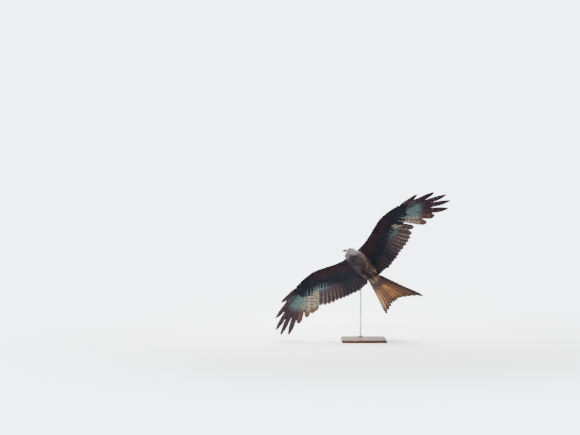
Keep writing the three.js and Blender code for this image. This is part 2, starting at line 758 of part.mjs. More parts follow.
for (const [side, name] of [[1, "right"], [-1, "left"]]) {
  bird.add(node(`thigh_${name}`, thigh(side, 0).subtract(torsoRoom), FINISH.body));
  bird.add(node(`foot_${name}`, foot(side).subtract(thigh(side, GAP)).subtract(torsoRoom), FINISH.foot));
  const core = wingCore(side);
  const onBothFaces = (place, part) =>
    COVERTS.flatMap((row) => [1, -1].flatMap((way) => coverts(side, row, way, place, row[part])));
  const hand = joined([core, ...primaries(side), ...onBothFaces(HAND, "hand"), thumb(side)]);
  const arm = joined([core, ...secondaries(side), ...onBothFaces(ARM, "arm")]);
  const armOnly = arm.subtract(handRegion(side, -GAP)).subtract(trunkRoom);
  bird.add(node(`wing_${name}_hand`, hand.intersect(handRegion(side, GAP)), FINISH.hand));
  bird.add(node(`wing_${name}_arm`, armOnly, FINISH.innerWing));
}

const tail = joined([tailCore(), ...tailFeathers(), ...tailCoverts(1), ...tailCoverts(-1)]);
bird.add(node("tail", tail.transform(TAIL_MATRIX.toArray()).subtract(torsoRoom), FINISH.tail));

// The stand: its post rises behind the bird, and its arm reaches into a hole in the bird's back
const birdMatrix = new THREE.Matrix4().compose(bird.position, bird.quaternion, point(1, 1, 1));
const intoBird = birdMatrix.clone().invert();
const above = (p, up) => p.clone().add(point(0, 0, up));
const back = BACK_POINT.clone().applyMatrix4(birdMatrix);
const armFrom = back.clone().add(point(0, -ROD.sunk, 0));
const armTo = back.clone().add(point(0, POST.behind, 0));
const holeEnd = armFrom.clone().add(point(0, -GAP, 0)).applyMatrix4(intoBird);
const armHole = rod(ROD, holeEnd, armTo.clone().applyMatrix4(intoBird), GAP);
bird.add(node("torso", torso(0).subtract(armHole), FINISH.body));

const postFoot = point(armTo.x, armTo.y, BASE.thick);
const collarTop = above(postFoot, COLLAR.thick);
const postTop = above(armTo, POST.over);
const arm = rod(ROD, armFrom, armTo).subtract(rod(POST, collarTop, above(postTop, GAP), GAP));

const part = new THREE.Group();
part.add(bird);
part.add(node("stand_base", standBase(), FINISH.base));
part.add(node("stand_collar", rod(COLLAR, above(postFoot, GAP), collarTop), FINISH.rod));
part.add(node("stand_post", rod(POST, above(collarTop, GAP), postTop), FINISH.rod));
part.add(node("stand_arm", arm, FINISH.rod));

export default part;
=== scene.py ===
import math
import bpy
import bmesh
import numpy as np
from mathutils import Matrix, Vector
from mathutils.bvhtree import BVHTree


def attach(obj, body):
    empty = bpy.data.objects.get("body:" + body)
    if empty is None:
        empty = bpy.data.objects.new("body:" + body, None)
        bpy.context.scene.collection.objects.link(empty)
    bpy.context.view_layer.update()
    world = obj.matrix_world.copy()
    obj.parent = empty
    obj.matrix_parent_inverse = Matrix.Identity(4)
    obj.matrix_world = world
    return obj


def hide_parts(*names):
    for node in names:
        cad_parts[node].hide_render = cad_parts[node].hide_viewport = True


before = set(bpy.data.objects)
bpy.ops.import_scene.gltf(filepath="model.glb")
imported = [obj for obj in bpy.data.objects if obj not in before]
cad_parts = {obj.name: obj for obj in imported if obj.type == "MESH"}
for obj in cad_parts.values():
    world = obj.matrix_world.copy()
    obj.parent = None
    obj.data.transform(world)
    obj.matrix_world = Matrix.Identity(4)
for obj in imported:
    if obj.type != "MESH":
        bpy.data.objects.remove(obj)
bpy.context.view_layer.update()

# Studio: a sheet of pale paper runs from the floor up into a wall behind the bird. It shows from its front
# alone and fades into a pale, even surround. Four soft lamps light the paper and the bird, as a bright sky
# does, and the camera looks at the bird's underside from a long way off.
EYE_OF_CAMERA = Vector((-0.5564, -11.9836, 1.5611))
MIDDLE_OF_VIEW = Vector((-0.5564, 0.0, 0.9331))
LENS_MM = 99.06
PAPER_FRONT = -7.0
PAPER_BACK = 3.2
PAPER_HALF = 9.0
PAPER_BEND = 1.6
PAPER_BEND_STEPS = 24
PAPER_TOP = 8.0
PAPER_TONE = (0.90, 0.915, 0.925, 1.0)
SURROUND_TONE = (0.90, 0.94, 1.0, 1.0)
SURROUND_STRENGTH = 0.18
SURROUND_SEEN = 5.6
FADE_FROM = 0.9
FADE_TO = 3.1
# Rows of [name, place, aim, width, watts, tint]
LAMPS = [
    ("lamp_on_paper", (-0.4, 1.1, 4.8), (-0.4, 3.2, 1.0), 4.0, 1300.0, (1.0, 0.99, 0.98)),
    ("lamp_above", (-2.2, -2.0, 4.6), (0.0, 0.0, 0.6), 3.0, 40.0, (1.0, 0.985, 0.96)),
    ("lamp_beside", (-3.4, -4.2, 1.2), (0.0, 0.0, 0.6), 2.6, 10.0, (0.95, 0.98, 1.0)),
    ("lamp_in_front", (0.0, -5.6, 5.0), (0.0, -5.8, 0.0), 4.0, 160.0, (1.0, 0.99, 0.98)),
]

lens = bpy.data.cameras.new("camera")
lens.lens = LENS_MM
lens.clip_end = 60.0
camera = bpy.data.objects.new("camera", lens)
bpy.context.scene.collection.objects.link(camera)
camera.location = EYE_OF_CAMERA
camera.rotation_euler = (MIDDLE_OF_VIEW - EYE_OF_CAMERA).to_track_quat("-Z", "Y").to_euler()
bpy.context.scene.camera = camera


def new_finish(name, roughness, specular=0.5):
    """A material with its principled shader, returned with its node tree and that shader."""
    finish = bpy.data.materials.new(name)
    finish.use_nodes = True
    tree = finish.node_tree
    shader = tree.nodes["Principled BSDF"]
    shader.inputs["Roughness"].default_value = roughness
    shader.inputs["Specular IOR Level"].default_value = specular
    return finish, tree, shader


def add_node(tree, kind, values=(), **settings):
    """A node with its settings, and the values or sockets that feed its inputs, by name or number."""
    node = tree.nodes.new(kind)
    for key, value in settings.items():
        setattr(node, key, value)
    for key, value in dict(values).items():
        if isinstance(value, bpy.types.NodeSocket):
            tree.links.new(value, node.inputs[key])
        else:
            node.inputs[key].default_value = value
    return node


def add_relief(tree, shader, height, strength, depth):
    """Fine relief over a finish, from the socket that gives its height."""
    relief = add_node(tree, "ShaderNodeBump", {"Strength": strength, "Distance": depth, "Height": height})
    tree.links.new(relief.outputs["Normal"], shader.inputs["Normal"])


def paper_profile():
    """The sheet from its front edge along the floor, round the bend and up: pairs of [back, height]."""
    floor = [(PAPER_FRONT, 0.0), (PAPER_BACK - PAPER_BEND, 0.0)]
    bend = []
    for i in range(1, PAPER_BEND_STEPS):
        turn = math.radians(90 * i / PAPER_BEND_STEPS)
        across = PAPER_BACK - PAPER_BEND + PAPER_BEND * math.sin(turn)
        bend.append((across, PAPER_BEND - PAPER_BEND * math.cos(turn)))
    return floor + bend + [(PAPER_BACK, PAPER_BEND), (PAPER_BACK, PAPER_TOP)]


profile = paper_profile()
paper_points = [(side * PAPER_HALF, y, z) for y, z in profile for side in (-1, 1)]
paper_faces = [(2 * i, 2 * i + 1, 2 * i + 3, 2 * i + 2) for i in range(len(profile) - 1)]
paper_mesh = bpy.data.meshes.new("paper")
paper_mesh.from_pydata(paper_points, [], paper_faces)
paper_mesh.polygons.foreach_set("use_smooth", [True] * len(paper_faces))
paper = bpy.data.objects.new("paper", paper_mesh)
bpy.context.scene.collection.objects.link(paper)
paper_finish, tree, shader = new_finish("paper", 0.9, 0.2)
shader.inputs["Base Color"].default_value = PAPER_TONE
grain = add_node(tree, "ShaderNodeTexNoise", {"Scale": 60.0, "Detail": 6.0})
add_relief(tree, shader, grain.outputs["Fac"], 0.05, 0.002)
clear = add_node(tree, "ShaderNodeBsdfTransparent")
glow = add_node(tree, "ShaderNodeEmission", {"Color": SURROUND_TONE, "Strength": SURROUND_SEEN})
seen_from = add_node(tree, "ShaderNodeNewGeometry")
ray = add_node(tree, "ShaderNodeLightPath")
away = add_node(tree, "ShaderNodeVectorMath", {0: seen_from.outputs["Position"]}, operation="LENGTH")
fade_ends = {"Value": away.outputs["Value"], "From Min": FADE_FROM, "From Max": FADE_TO}
far = add_node(tree, "ShaderNodeMapRange", fade_ends, interpolation_type="SMOOTHSTEP")
fade = add_node(tree, "ShaderNodeMath", {
    0: far.outputs["Result"], 1: ray.outputs["Is Camera Ray"]}, operation="MULTIPLY")
faded = add_node(tree, "ShaderNodeMixShader", {
    0: fade.outputs["Value"], 1: shader.outputs["BSDF"], 2: glow.outputs["Emission"]})
one_sided = add_node(tree, "ShaderNodeMixShader", {
    0: seen_from.outputs["Backfacing"], 1: faded.outputs["Shader"], 2: clear.outputs["BSDF"]})
tree.links.new(one_sided.outputs["Shader"], tree.nodes["Material Output"].inputs["Surface"])
paper_mesh.materials.append(paper_finish)


def add_lamp(name, place, aim, width, watts, tint):
    lamp = bpy.data.lights.new(name, "AREA")
    lamp.shape = "DISK"
    lamp.size = width
    lamp.energy = watts
    lamp.color = tint
    holder = bpy.data.objects.new(name, lamp)
    bpy.context.scene.collection.objects.link(holder)
    holder.location = place
    holder.rotation_euler = (Vector(aim) - Vector(place)).to_track_quat("-Z", "Y").to_euler()


for lamp_row in LAMPS:
    add_lamp(*lamp_row)
surround = bpy.data.worlds.new("surround")
surround.use_nodes = True
background = surround.node_tree.nodes["Background"]
background.inputs["Color"].default_value = SURROUND_TONE
ray = add_node(surround.node_tree, "ShaderNodeLightPath")
strength = add_node(surround.node_tree, "ShaderNodeMapRange", {
    "Value": ray.outputs["Is Camera Ray"], "To Min": SURROUND_STRENGTH, "To Max": SURROUND_SEEN})
surround.node_tree.links.new(strength.outputs["Result"], background.inputs["Strength"])
bpy.context.scene.world = surround

# Flesh: one skin runs from the forehead over neck, breast, thighs and arms to the tail's root, just under the
# feathers. It is made from rings along each part, melted into one surface and dyed. The bird has a frame of
# its own, with +X to its right wing, +Y to its bill and +Z out of its back.
BIRD_PLACE = Vector((-0.0306, -0.030, 0.5974))
HEADING = math.radians(102.2)
CLIMB = math.radians(49.8)
BANK = math.radians(76.1)
HEAD_PLACE = Vector((-0.001, 0.115, 0.0))
HEAD_TURN = math.radians(-46.9)
HEAD_DIP = math.radians(2.1)
HEAD_ROLL = math.radians(-43.2)
TAIL_PLACE = Vector((-0.002, -0.128, 0.003))
TAIL_YAW = math.radians(-7.4)
TAIL_RAISE = math.radians(8.9)
TAIL_TWIST = math.radians(-37.2)
COAT_ON_BODY = 0.006
COAT_ON_HEAD = 0.0022
COAT_ON_WING = 0.001
SKIN_VOXEL = 0.0023


def attitude(place, turn, dip, roll):
    turned = Matrix.Rotation(turn, 4, "Z") @ Matrix.Rotation(dip, 4, "X") @ Matrix.Rotation(roll, 4, "Y")
    return Matrix.Translation(place) @ turned


BIRD = np.array(attitude(BIRD_PLACE, HEADING, CLIMB, BANK))
HEAD = np.array(attitude(HEAD_PLACE, HEAD_TURN, HEAD_DIP, HEAD_ROLL))
TAIL = np.array(attitude(TAIL_PLACE, TAIL_YAW, -TAIL_RAISE, TAIL_TWIST))


def moved(points, place):
    points = np.asarray(points, float)
    return points @ place[:3, :3].T + place[:3, 3]


def turned(directions, place):
    return np.asarray(directions, float) @ place[:3, :3].T


def through(rows):
    """A smooth curve through rows of [place, value, value, ...], read at any places."""
    rows = np.array(rows, float)
    x = rows[:, 0]
    last = len(x) - 1
    ahead = np.minimum(np.arange(len(x)) + 1, last)
    behind = np.maximum(np.arange(len(x)) - 1, 0)
    slope = (rows[ahead] - rows[behind]) / (x[ahead] - x[behind])[:, None]

    def read(place, k=1):
        at = np.clip(np.asarray(place, float), x[0], x[-1])
        i = np.clip(np.searchsorted(x, at, side="left") - 1, 0, last - 1)
        span = x[i + 1] - x[i]
        t = (at - x[i]) / span
        h = t * t * (3 - 2 * t)
        start = t * (1 - t) * (1 - t) * span * slope[i, k]
        end = t * t * (t - 1) * span * slope[i + 1, k]
        return rows[i, k] * (1 - h) + rows[i + 1, k] * h + start + end

    return read


def smooth(low, high, x):
    t = np.clip((np.asarray(x, float) - low) / (high - low), 0.0, 1.0)
    return t * t * (3 - 2 * t)


def mix(a, b, t):
    return a + (b - a) * t


def unit(v):
    return v / np.maximum(np.linalg.norm(v, axis=-1, keepdims=True), 1e-12)


# Rows of [forward, centre height, half width, rise of the back, drop of the breast, offset to the right]
TORSO = through([
    [-0.166, 0.004, 0.040, 0.013, 0.017, -0.004],
    [-0.130, 0.003, 0.051, 0.024, 0.033, -0.003],
    [-0.090, 0.001, 0.060, 0.032, 0.047, -0.001],
    [-0.045, -0.001, 0.068, 0.038, 0.061, 0.001],
    [0.000, -0.002, 0.072, 0.041, 0.069, 0.003],
    [0.034, -0.001, 0.071, 0.040, 0.064, 0.004],
    [0.060, 0.002, 0.065, 0.036, 0.052, 0.006],
])
# Rows of [forward, centre height, half width, rise, drop], in the head's own frame
SKULL = through([
    [-0.034, -0.001, 0.011, 0.010, 0.011],
    [-0.029, -0.001, 0.019, 0.016, 0.018],
    [-0.015, 0.000, 0.0255, 0.021, 0.024],
    [0.000, 0.001, 0.025, 0.022, 0.022],
    [0.011, 0.001, 0.021, 0.019, 0.0185],
    [0.020, -0.0005, 0.0145, 0.013, 0.013],
    [0.027, -0.002, 0.0095, 0.0085, 0.0085],
])
BROW_PLACE = np.array([0.0180, 0.0100, 0.0088])
BROW_LONG = 0.0115
BROW_DIP = np.array(Matrix.Rotation(math.radians(-10), 3, "X"))
CROP_PLACE = np.array([0.018, 0.097, -0.012])
CROP_TURN = math.radians(-14)
CROP_SIZE = (0.0, 0.053, 0.035, 0.039, 0.0)
THROAT_PLACE = np.array([0.038, 0.109, -0.015])
THROAT_RADIUS = 0.024
THROAT_POINTS = 120
THIGH_PATH = [(0.027, -0.030, -0.044), (0.029, -0.071, -0.047), (0.019, -0.112, -0.043)]
THIGH_RADII = (0.009, 0.017, 0.0085)
THIGH_COAT = 0.003
# Rows of [out, leading edge, trailing edge, height, thickness] of the flesh of arm and hand
WING = through([
    [0.026, 0.080, -0.066, 0.008, 0.036],
    [0.064, 0.087, -0.048, 0.013, 0.034],
    [0.110, 0.091, -0.022, 0.019, 0.027],
    [0.176, 0.110, 0.010, 0.026, 0.020],
    [0.250, 0.138, 0.046, 0.030, 0.017],
    [0.300, 0.155, 0.066, 0.030, 0.015],
    [0.340, 0.162, 0.084, 0.028, 0.014],
    [0.390, 0.164, 0.100, 0.023, 0.012],
    [0.450, 0.159, 0.120, 0.014, 0.009],
    [0.494, 0.151, 0.131, 0.007, 0.006],
    [0.660, 0.120, 0.131, -0.006, 0.002],
    [0.840, 0.100, 0.131, 0.002, 0.002],
])
WING_END = 0.494
WING_SHARES = np.array([0, 0.02, 0.06, 0.12, 0.2, 0.3, 0.42, 0.55, 0.7, 0.85, 1.0])
SHEET_DROP = 0.011
SHEET_REACH = 0.190
CORE_EDGE = 0.0024
TAIL_CORE = [(0.026, 0.024, 0.009), (-0.010, 0.042, 0.012), (-0.042, 0.054, 0.009), (-0.076, 0.052, 0.0045)]


def sheet(x, y):
    """Height of the sheet of flight feathers, which sinks to the rear."""
    back = np.maximum(0.0, WING(np.minimum(x, WING_END), 2) - y) / SHEET_REACH
    return WING(x, 3) - SHEET_DROP * back * back


def core_half(x, share):
    """Half thickness of the wing's flesh at a share of its chord."""
    share = np.clip(share, 0.0, 1.0)
    curve = np.minimum(np.sqrt(share) * (1 - share) * 2.6, 1.0)
    return np.maximum(WING(x, 4) / 2 * curve + CORE_EDGE * smooth(0.2, 1.0, share), 0.0005)


def egg(forward, size, sides, grow=0.0):
    """One ring of an egg-shaped section, with its own rise above and drop below the centre."""
    height, half, rise, drop, offset = size
    a = (np.arange(sides) + 0.5) / sides * 2 * math.pi
    tall = np.where(np.cos(a) > 0, rise, drop) + grow
    across = offset + np.sin(a) * (half + grow)
    return np.stack([across, np.full(sides, forward), height + np.cos(a) * tall], axis=1)


def add_loft(mesh, rings):
    """A closed body through rings of as many points each, added to a bmesh."""
    rows = [[mesh.verts.new(p) for p in ring] for ring in rings]
    n = len(rows[0])
    for low, high in zip(rows, rows[1:]):
        for j in range(n):
            k = (j + 1) % n
            mesh.faces.new((low[j], low[k], high[k], high[j]))
    mesh.faces.new(rows[0][::-1])
    mesh.faces.new(rows[-1])


def add_hull(mesh, points):
    corners = [mesh.verts.new(p) for p in points]
    made = bmesh.ops.convex_hull(mesh, input=corners)
    spare = [v for v in made["geom_interior"] + made["geom_unused"] if isinstance(v, bmesh.types.BMVert)]
    bmesh.ops.delete(mesh, geom=list(set(spare)), context="VERTS")


def limb_rings(points, radii, sides, steps):
    """Rings of a round limb through a few points, with a radius at each."""
    shares = np.linspace(0, 1, len(points))
    path = through(np.column_stack([shares, points, radii]))
    rings = []
    for t in np.linspace(0, 1, steps):
        centre = np.array([path(t, k) for k in (1, 2, 3)])
        after = np.array([path(min(t + 0.02, 1), k) - path(max(t - 0.02, 0), k) for k in (1, 2, 3)])
        along = unit(after)
        right = unit(np.cross(along, (0.13, 0.05, 1.0)))
        up = np.cross(right, along)
        a = (np.arange(sides) + 0.5) / sides * 2 * math.pi
        rings.append(centre + path(t, 4) * (np.outer(np.sin(a), right) + np.outer(np.cos(a), up)))
    return rings


def skull_ring(forward, grow):
    return egg(forward, [SKULL(forward, k) for k in (1, 2, 3, 4)] + [0.0], 28, grow)


def torso_ring(forward, grow):
    return egg(forward, [TORSO(forward, k) for k in (1, 2, 3, 4, 5)], 40, grow)


def add_flesh(mesh):
    """Torso, skull, brows, crop, neck, throat, thighs, arms and tail root, as closed bodies that overlap."""
    add_loft(mesh, [torso_ring(y, -COAT_ON_BODY) for y in np.linspace(-0.160, 0.058, 24)])
    add_loft(mesh, [moved(skull_ring(y, -COAT_ON_HEAD), HEAD) for y in np.linspace(-0.033, 0.026, 22)])
    for side in (1, -1):
        brow = [egg(y, (0.0, 0.0042 * w, 0.0024 * w, 0.0024 * w, 0.0), 12)
                for y, w in [(k / 10, math.sqrt(max(0.02, 1 - (k / 10) ** 2))) for k in range(-10, 11, 2)]]
        ridge = [(ring * (1, BROW_LONG, 1)) @ BROW_DIP.T + BROW_PLACE * (side, 1, 1) for ring in brow]
        add_loft(mesh, [moved(ring, HEAD) for ring in ridge])
    turn = np.array(Matrix.Rotation(CROP_TURN, 3, "Z"))
    crop = egg(0.0, CROP_SIZE, 30, -COAT_ON_BODY) @ turn.T + CROP_PLACE
    nape = np.concatenate([skull_ring(y, -COAT_ON_HEAD) for y in (-0.030, -0.012)])
    chin = skull_ring(0.017, -COAT_ON_HEAD)
    chin = chin[chin[:, 2] < -0.004]
    a = np.arange(THROAT_POINTS)
    turn_of_ball = a * math.pi * (3 - math.sqrt(5))
    level = 1 - 2 * (a + 0.5) / THROAT_POINTS
    flat = np.sqrt(1 - level * level)
    ball = np.stack([flat * np.cos(turn_of_ball), flat * np.sin(turn_of_ball), level], axis=1)
    throat = THROAT_PLACE + ball * (THROAT_RADIUS - COAT_ON_BODY)
    upper = np.concatenate([moved(np.concatenate([nape, chin]), HEAD), throat])
    add_hull(mesh, np.concatenate([torso_ring(0.052, -COAT_ON_BODY), crop]))
    add_hull(mesh, np.concatenate([crop, upper]))
    for side in (1, -1):
        path = [(side * x, y, z) for x, y, z in THIGH_PATH]
        add_loft(mesh, limb_rings(path, [r - THIGH_COAT for r in THIGH_RADII], 16, 14))
        rings = []
        for x in np.linspace(0.026, WING_END, 34):
            y = mix(WING(x, 1), WING(x, 2), WING_SHARES)
            half = np.maximum(core_half(x, WING_SHARES) - COAT_ON_WING, 0.0012)
            row = np.stack([np.full(len(y), side * x), y, sheet(x, y)], axis=1)
            lift = np.stack([0 * y, 0 * y, half], axis=1)
            rings.append(np.concatenate([row + lift, (row - lift)[::-1]]))
        add_loft(mesh, rings)
    rings = [egg(y, (0.0, wide - 0.002, tall, tall, 0.0), 24) for y, wide, tall in TAIL_CORE]
    add_loft(mesh, [moved(ring, TAIL) for ring in rings])


def melted(name, fill, voxel, rounds):
    """One closed surface from the bodies that fill() adds, as a mesh in the bird's own frame."""
    parts = bmesh.new()
    fill(parts)
    bmesh.ops.recalc_face_normals(parts, faces=parts.faces)
    raw = bpy.data.meshes.new(name + "_raw")
    parts.to_mesh(raw)
    parts.free()
    holder = bpy.data.objects.new(name + "_raw", raw)
    bpy.context.scene.collection.objects.link(holder)
    melt = holder.modifiers.new("melt", "REMESH")
    melt.mode = "VOXEL"
    melt.voxel_size = voxel
    soften = holder.modifiers.new("soften", "SMOOTH")
    soften.factor = 0.5
    soften.iterations = rounds
    made = bpy.data.meshes.new_from_object(holder.evaluated_get(bpy.context.evaluated_depsgraph_get()))
    made.name = name
    bpy.data.objects.remove(holder)
    bpy.data.meshes.remove(raw)
    return made


skin_mesh = melted("skin", add_flesh, SKIN_VOXEL, 4)
skin_points = np.empty(len(skin_mesh.vertices) * 3)
skin_mesh.vertices.foreach_get("co", skin_points)
skin_points = skin_points.reshape(-1, 3)
skin_normals = np.array([n.vector[:] for n in skin_mesh.vertex_normals])
skin_tree = BVHTree.FromPolygons(skin_points.tolist(), [p.vertices[:] for p in skin_mesh.polygons])


def tone(red, green, blue):
    """A paint's linear colour from its usual values, 0 to 255."""
    c = np.array((red, green, blue), float) / 255
    return np.where(c <= 0.04045, c / 12.92, ((c + 0.055) / 1.055) ** 2.4)


CROWN_GREY = tone(138, 129, 132)
THROAT_GREY = tone(134, 132, 136)
# The breast's and belly's dyes are deep and cool: partly the dark plumage, partly painted shade of the
# underside.
BREAST_DARK = tone(22, 22, 26)
BELLY_BROWN = tone(34, 30, 34)
FLANK_RUFOUS = tone(72, 46, 37)
VENT_BUFF = tone(136, 112, 90)
MANTLE_BROWN = tone(36, 25, 20)
RUMP_RUFOUS = tone(86, 46, 22)
EDGE_RUFOUS = tone(84, 50, 33)
EDGE_BELOW = tone(74, 56, 50)
# The grey's middle sits towards the nape, so the throat's right side near the bill takes the dark breast dye
# as painted shade.
GREY_CENTRE = HEAD_PLACE + Vector((-0.010, 0.006, 0.0))


def grey_share(points):
    """How far a place belongs to the pale grey head and throat."""
    away = np.linalg.norm(points - np.array(GREY_CENTRE), axis=-1)
    return 1 - smooth(0.040, 0.060, away)


def buff_end(x, y, z):
    """How far a place belongs to the pale spot where the left flank meets the vent."""
    along = smooth(-0.070, -0.105, y) * smooth(-0.150, -0.138, y)
    return 0.95 * smooth(0.038, 0.049, -x) * along * smooth(0.012, 0.004, z)


def under_tail(y, z):
    """How far a place belongs to the dark underside of the tail's root."""
    return smooth(-0.155, -0.172, y) * smooth(0.030, 0.018, z)


def body_ground(points):
    """Ground colour of the plumage of head and body at places in the bird's frame."""
    x, y, z = points[..., 0], points[..., 1], points[..., 2]
    left = smooth(0.012, 0.050, -x)
    rear = smooth(0.03, -0.13, y)[..., None]
    # Below, the deep cool dyes of breast and belly are partly painted shade of the underside.
    below = mix(BREAST_DARK, BELLY_BROWN, rear)
    below = mix(below, FLANK_RUFOUS, (left * smooth(0.10, 0.0, y) * 0.9)[..., None])
    below = mix(below, VENT_BUFF, (left * smooth(-0.06, -0.13, y) * 0.3)[..., None])
    above = mix(MANTLE_BROWN, RUMP_RUFOUS, smooth(-0.07, -0.15, y)[..., None])
    ground = mix(below, above, smooth(-0.012, 0.014, z - 0.014 * smooth(-0.08, -0.13, y))[..., None])
    ground = mix(ground, BELLY_BROWN * 0.8, (under_tail(y, z) * 0.75)[..., None])
    ground = mix(ground, VENT_BUFF * 1.2, buff_end(x, y, z)[..., None])
    crop_side = smooth(0.022, 0.042, np.abs(x)) * smooth(0.090, 0.110, y)
    ground = mix(ground, THROAT_GREY * 0.8, (crop_side * 0.75)[..., None])
    grey = mix(THROAT_GREY, CROWN_GREY, smooth(-0.01, 0.01, z)[..., None])
    return mix(ground, grey, grey_share(points)[..., None])


def read_paint(tree, name):
    """Sockets of the values that a mesh holds under a name."""
    return add_node(tree, "ShaderNodeAttribute", attribute_name=name).outputs


def add_noise(tree, scale, detail, place=None):
    """Fine noise over the bird's own places, or over another place."""
    if place is None:
        place = add_node(tree, "ShaderNodeTexCoord").outputs["Object"]
    noise = add_node(tree, "ShaderNodeTexNoise", {"Vector": place, "Scale": scale, "Detail": detail})
    return noise.outputs["Fac"]


def drawn_out(tree, noise, low, high):
    """The middle of a noise's range drawn out to the values from low to high."""
    spread = {"Value": noise, "From Min": 0.3, "From Max": 0.7, "To Min": low, "To Max": high}
    return add_node(tree, "ShaderNodeMapRange", spread).outputs["Result"]


def shaded(tree, colour, share):
    """A colour made darker or lighter by a share."""
    made = add_node(tree, "ShaderNodeVectorMath", {0: colour}, operation="SCALE")
    tree.links.new(share, made.inputs["Scale"])
    return made.outputs["Vector"]


def cover(tree, shader, colour, height, strength, depth):
    """The colour of a finish and its fine relief, each from a socket."""
    tree.links.new(colour, shader.inputs["Base Color"])
    add_relief(tree, shader, height, strength, depth)


skin_finish, tree, shader = new_finish("skin_under_feathers", 0.85, 0.2)
down = add_noise(tree, 260.0, 5.0)
downy = shaded(tree, read_paint(tree, "coat")["Color"], drawn_out(tree, down, 0.55, 1.0))
cover(tree, shader, downy, down, 0.5, 0.001)


def add_paint(mesh, name, kind, values):
    """Values that a mesh holds at each of its points: one, three or a colour's four."""
    field = {"FLOAT": "value", "FLOAT_VECTOR": "vector", "FLOAT_COLOR": "color"}[kind]
    held = mesh.attributes.new(name, kind, "POINT")
    held.data.foreach_set(field, np.asarray(values, np.float32).ravel())


def place_piece(piece_mesh, name, finish, nodes=()):
    """A mesh in its finish as a piece of the bird: it rides on the part and stands for those nodes."""
    piece_mesh.materials.clear()
    piece_mesh.materials.append(finish)
    piece = bpy.data.objects.new(name, piece_mesh)
    bpy.context.scene.collection.objects.link(piece)
    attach(piece, "root")
    if nodes:
        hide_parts(*nodes)


# The wing's lower face takes a blue-black dye: partly dark plumage, partly painted shade of the underside.
UNDER_DARK = tone(20, 20, 26)
UPPER_BROWN = tone(42, 30, 25)
coat = body_ground(skin_points)
# On the arms the skin takes the wing's dyes, the lower face's with its painted shade.
on_wing = smooth(0.044, 0.064, np.abs(skin_points[:, 0]))[:, None]
wing_dye = mix(UNDER_DARK, UPPER_BROWN, smooth(-0.3, 0.3, skin_normals[:, 2])[:, None])
coat = mix(coat, wing_dye, on_wing)
add_paint(skin_mesh, "coat", "FLOAT_COLOR", np.column_stack([coat, np.ones(len(coat))]))
skin_mesh.polygons.foreach_set("use_smooth", [True] * len(skin_mesh.polygons))
skin_mesh.transform(Matrix(BIRD))
flesh_nodes = ["torso", "neck", "head", "thigh_left", "thigh_right"]
place_piece(skin_mesh, "skin", skin_finish, flesh_nodes)

# Flight feathers: ten primaries on each hand, and twelve secondaries and three tertials on each arm. Each is
# a thin vane of barbs on a hollow shaft, rooted in the rear of the flesh and half over its neighbour. The
# five outermost are notched into fingers, and three of the left hand's are still growing.
FINGER_NARROW = [0.76, 0.74, 0.76, 0.78, 0.88]
# From the outermost: [length, sweep back from the wing's line (degrees), 1 if fingered]
PRIMARIES = [
    [0.177, 1.9, 1],
    [0.305, 13.3, 1],
    [0.392, 20.7, 1],
    [0.418, 26.4, 1],
    [0.403, 32.6, 1],
    [0.310, 38.4, 0],
    [0.264, 47.1, 0],
    [0.240, 53.5, 0],
    [0.235, 53.1, 0],
    [0.232, 52.3, 0],
]
PRIMARY_ROOTS = through([[0, 0.478, 0.143], [5, 0.416, 0.124], [9, 0.350, 0.104]])
# The left wing's growing feathers: [share of the length, share of the width, turn ahead in degrees]
GROWING = {7: (1.0, 0.56, 6.5), 8: (0.5, 0.9, 0.0), 9: (0.42, 0.9, 0.0)}
SECONDARY_ROOTS = through([[0, 0.332, 0.096], [5, 0.232, 0.054], [11, 0.112, -0.004]])
SECONDARY_TIPS = through([
    [0, 0.467, -0.047],
    [1, 0.441, -0.075],
    [3, 0.384, -0.107],
    [6, 0.292, -0.136],
    [9, 0.206, -0.162],
    [11, 0.147, -0.173],
])
LEFT_FIRST_OUT = 0.016
TERTIAL_ROOTS = through([[0, 0.094, -0.012], [2, 0.062, -0.030]])
TERTIAL_TIPS = through([[0, 0.118, -0.171], [2, 0.069, -0.171]])
SECONDARIES = 12
TERTIALS = 3
PRIMARY_WIDE = 0.047
FIRST_PRIMARY_WIDE = 0.036
SECONDARY_WIDE = 0.046
SECONDARY_LEAD = 0.38
SECONDARY_BEND = 0.003
VANE_ROLL = math.radians(5)
BLADE_SHARP = math.radians(55)
QUILL_ACROSS = np.array([-1, -0.86, -0.62, -0.28, 0, 0.4, 1.0])
QUILL_THICK = (0.0005, 0.0022)
QUILL_EVEN = 30
QUILL_SPLITS = 3
SPLIT_HALF = 0.005
# The pale underwing window is dyed a dull grey with a teal cast, as painted shade over its pale feathers.
WINDOW_PALE_IN_SHADE = tone(80, 102, 100)
PRIMARY_TIP = tone(46, 32, 40)
INNER_CREAM = tone(148, 138, 120)
INNER_TIP = tone(92, 64, 56)
SECONDARY_GREY = tone(64, 51, 55)
# The dark secondaries' dye is deep with a blue cast: partly their dark plumage, partly painted shade of the
# underside.
SECONDARY_DARK = tone(24, 24, 33)
SECONDARY_EDGE = tone(136, 108, 102)
QUILL_ABOVE = tone(24, 19, 18)
QUILL_ABOVE_PALE = tone(42, 34, 31)
draw = np.random.default_rng(7)


def new_group(name, inputs, outputs):
    """An empty shader node group with named inputs and outputs."""
    group = bpy.data.node_groups.new(name, "ShaderNodeTree")
    for label, value in inputs.items():
        socket = group.interface.new_socket(label, in_out="INPUT", socket_type="NodeSocketFloat")
        socket.default_value = value
    for label in outputs:
        group.interface.new_socket(label, in_out="OUTPUT", socket_type="NodeSocketFloat")
    return group, group.nodes.new("NodeGroupInput").outputs, group.nodes.new("NodeGroupOutput").inputs


def reckon(tree, operation, *values):
    """The result of one math node, for numbers or sockets."""
    return add_node(tree, "ShaderNodeMath", enumerate(values), operation=operation).outputs[0]


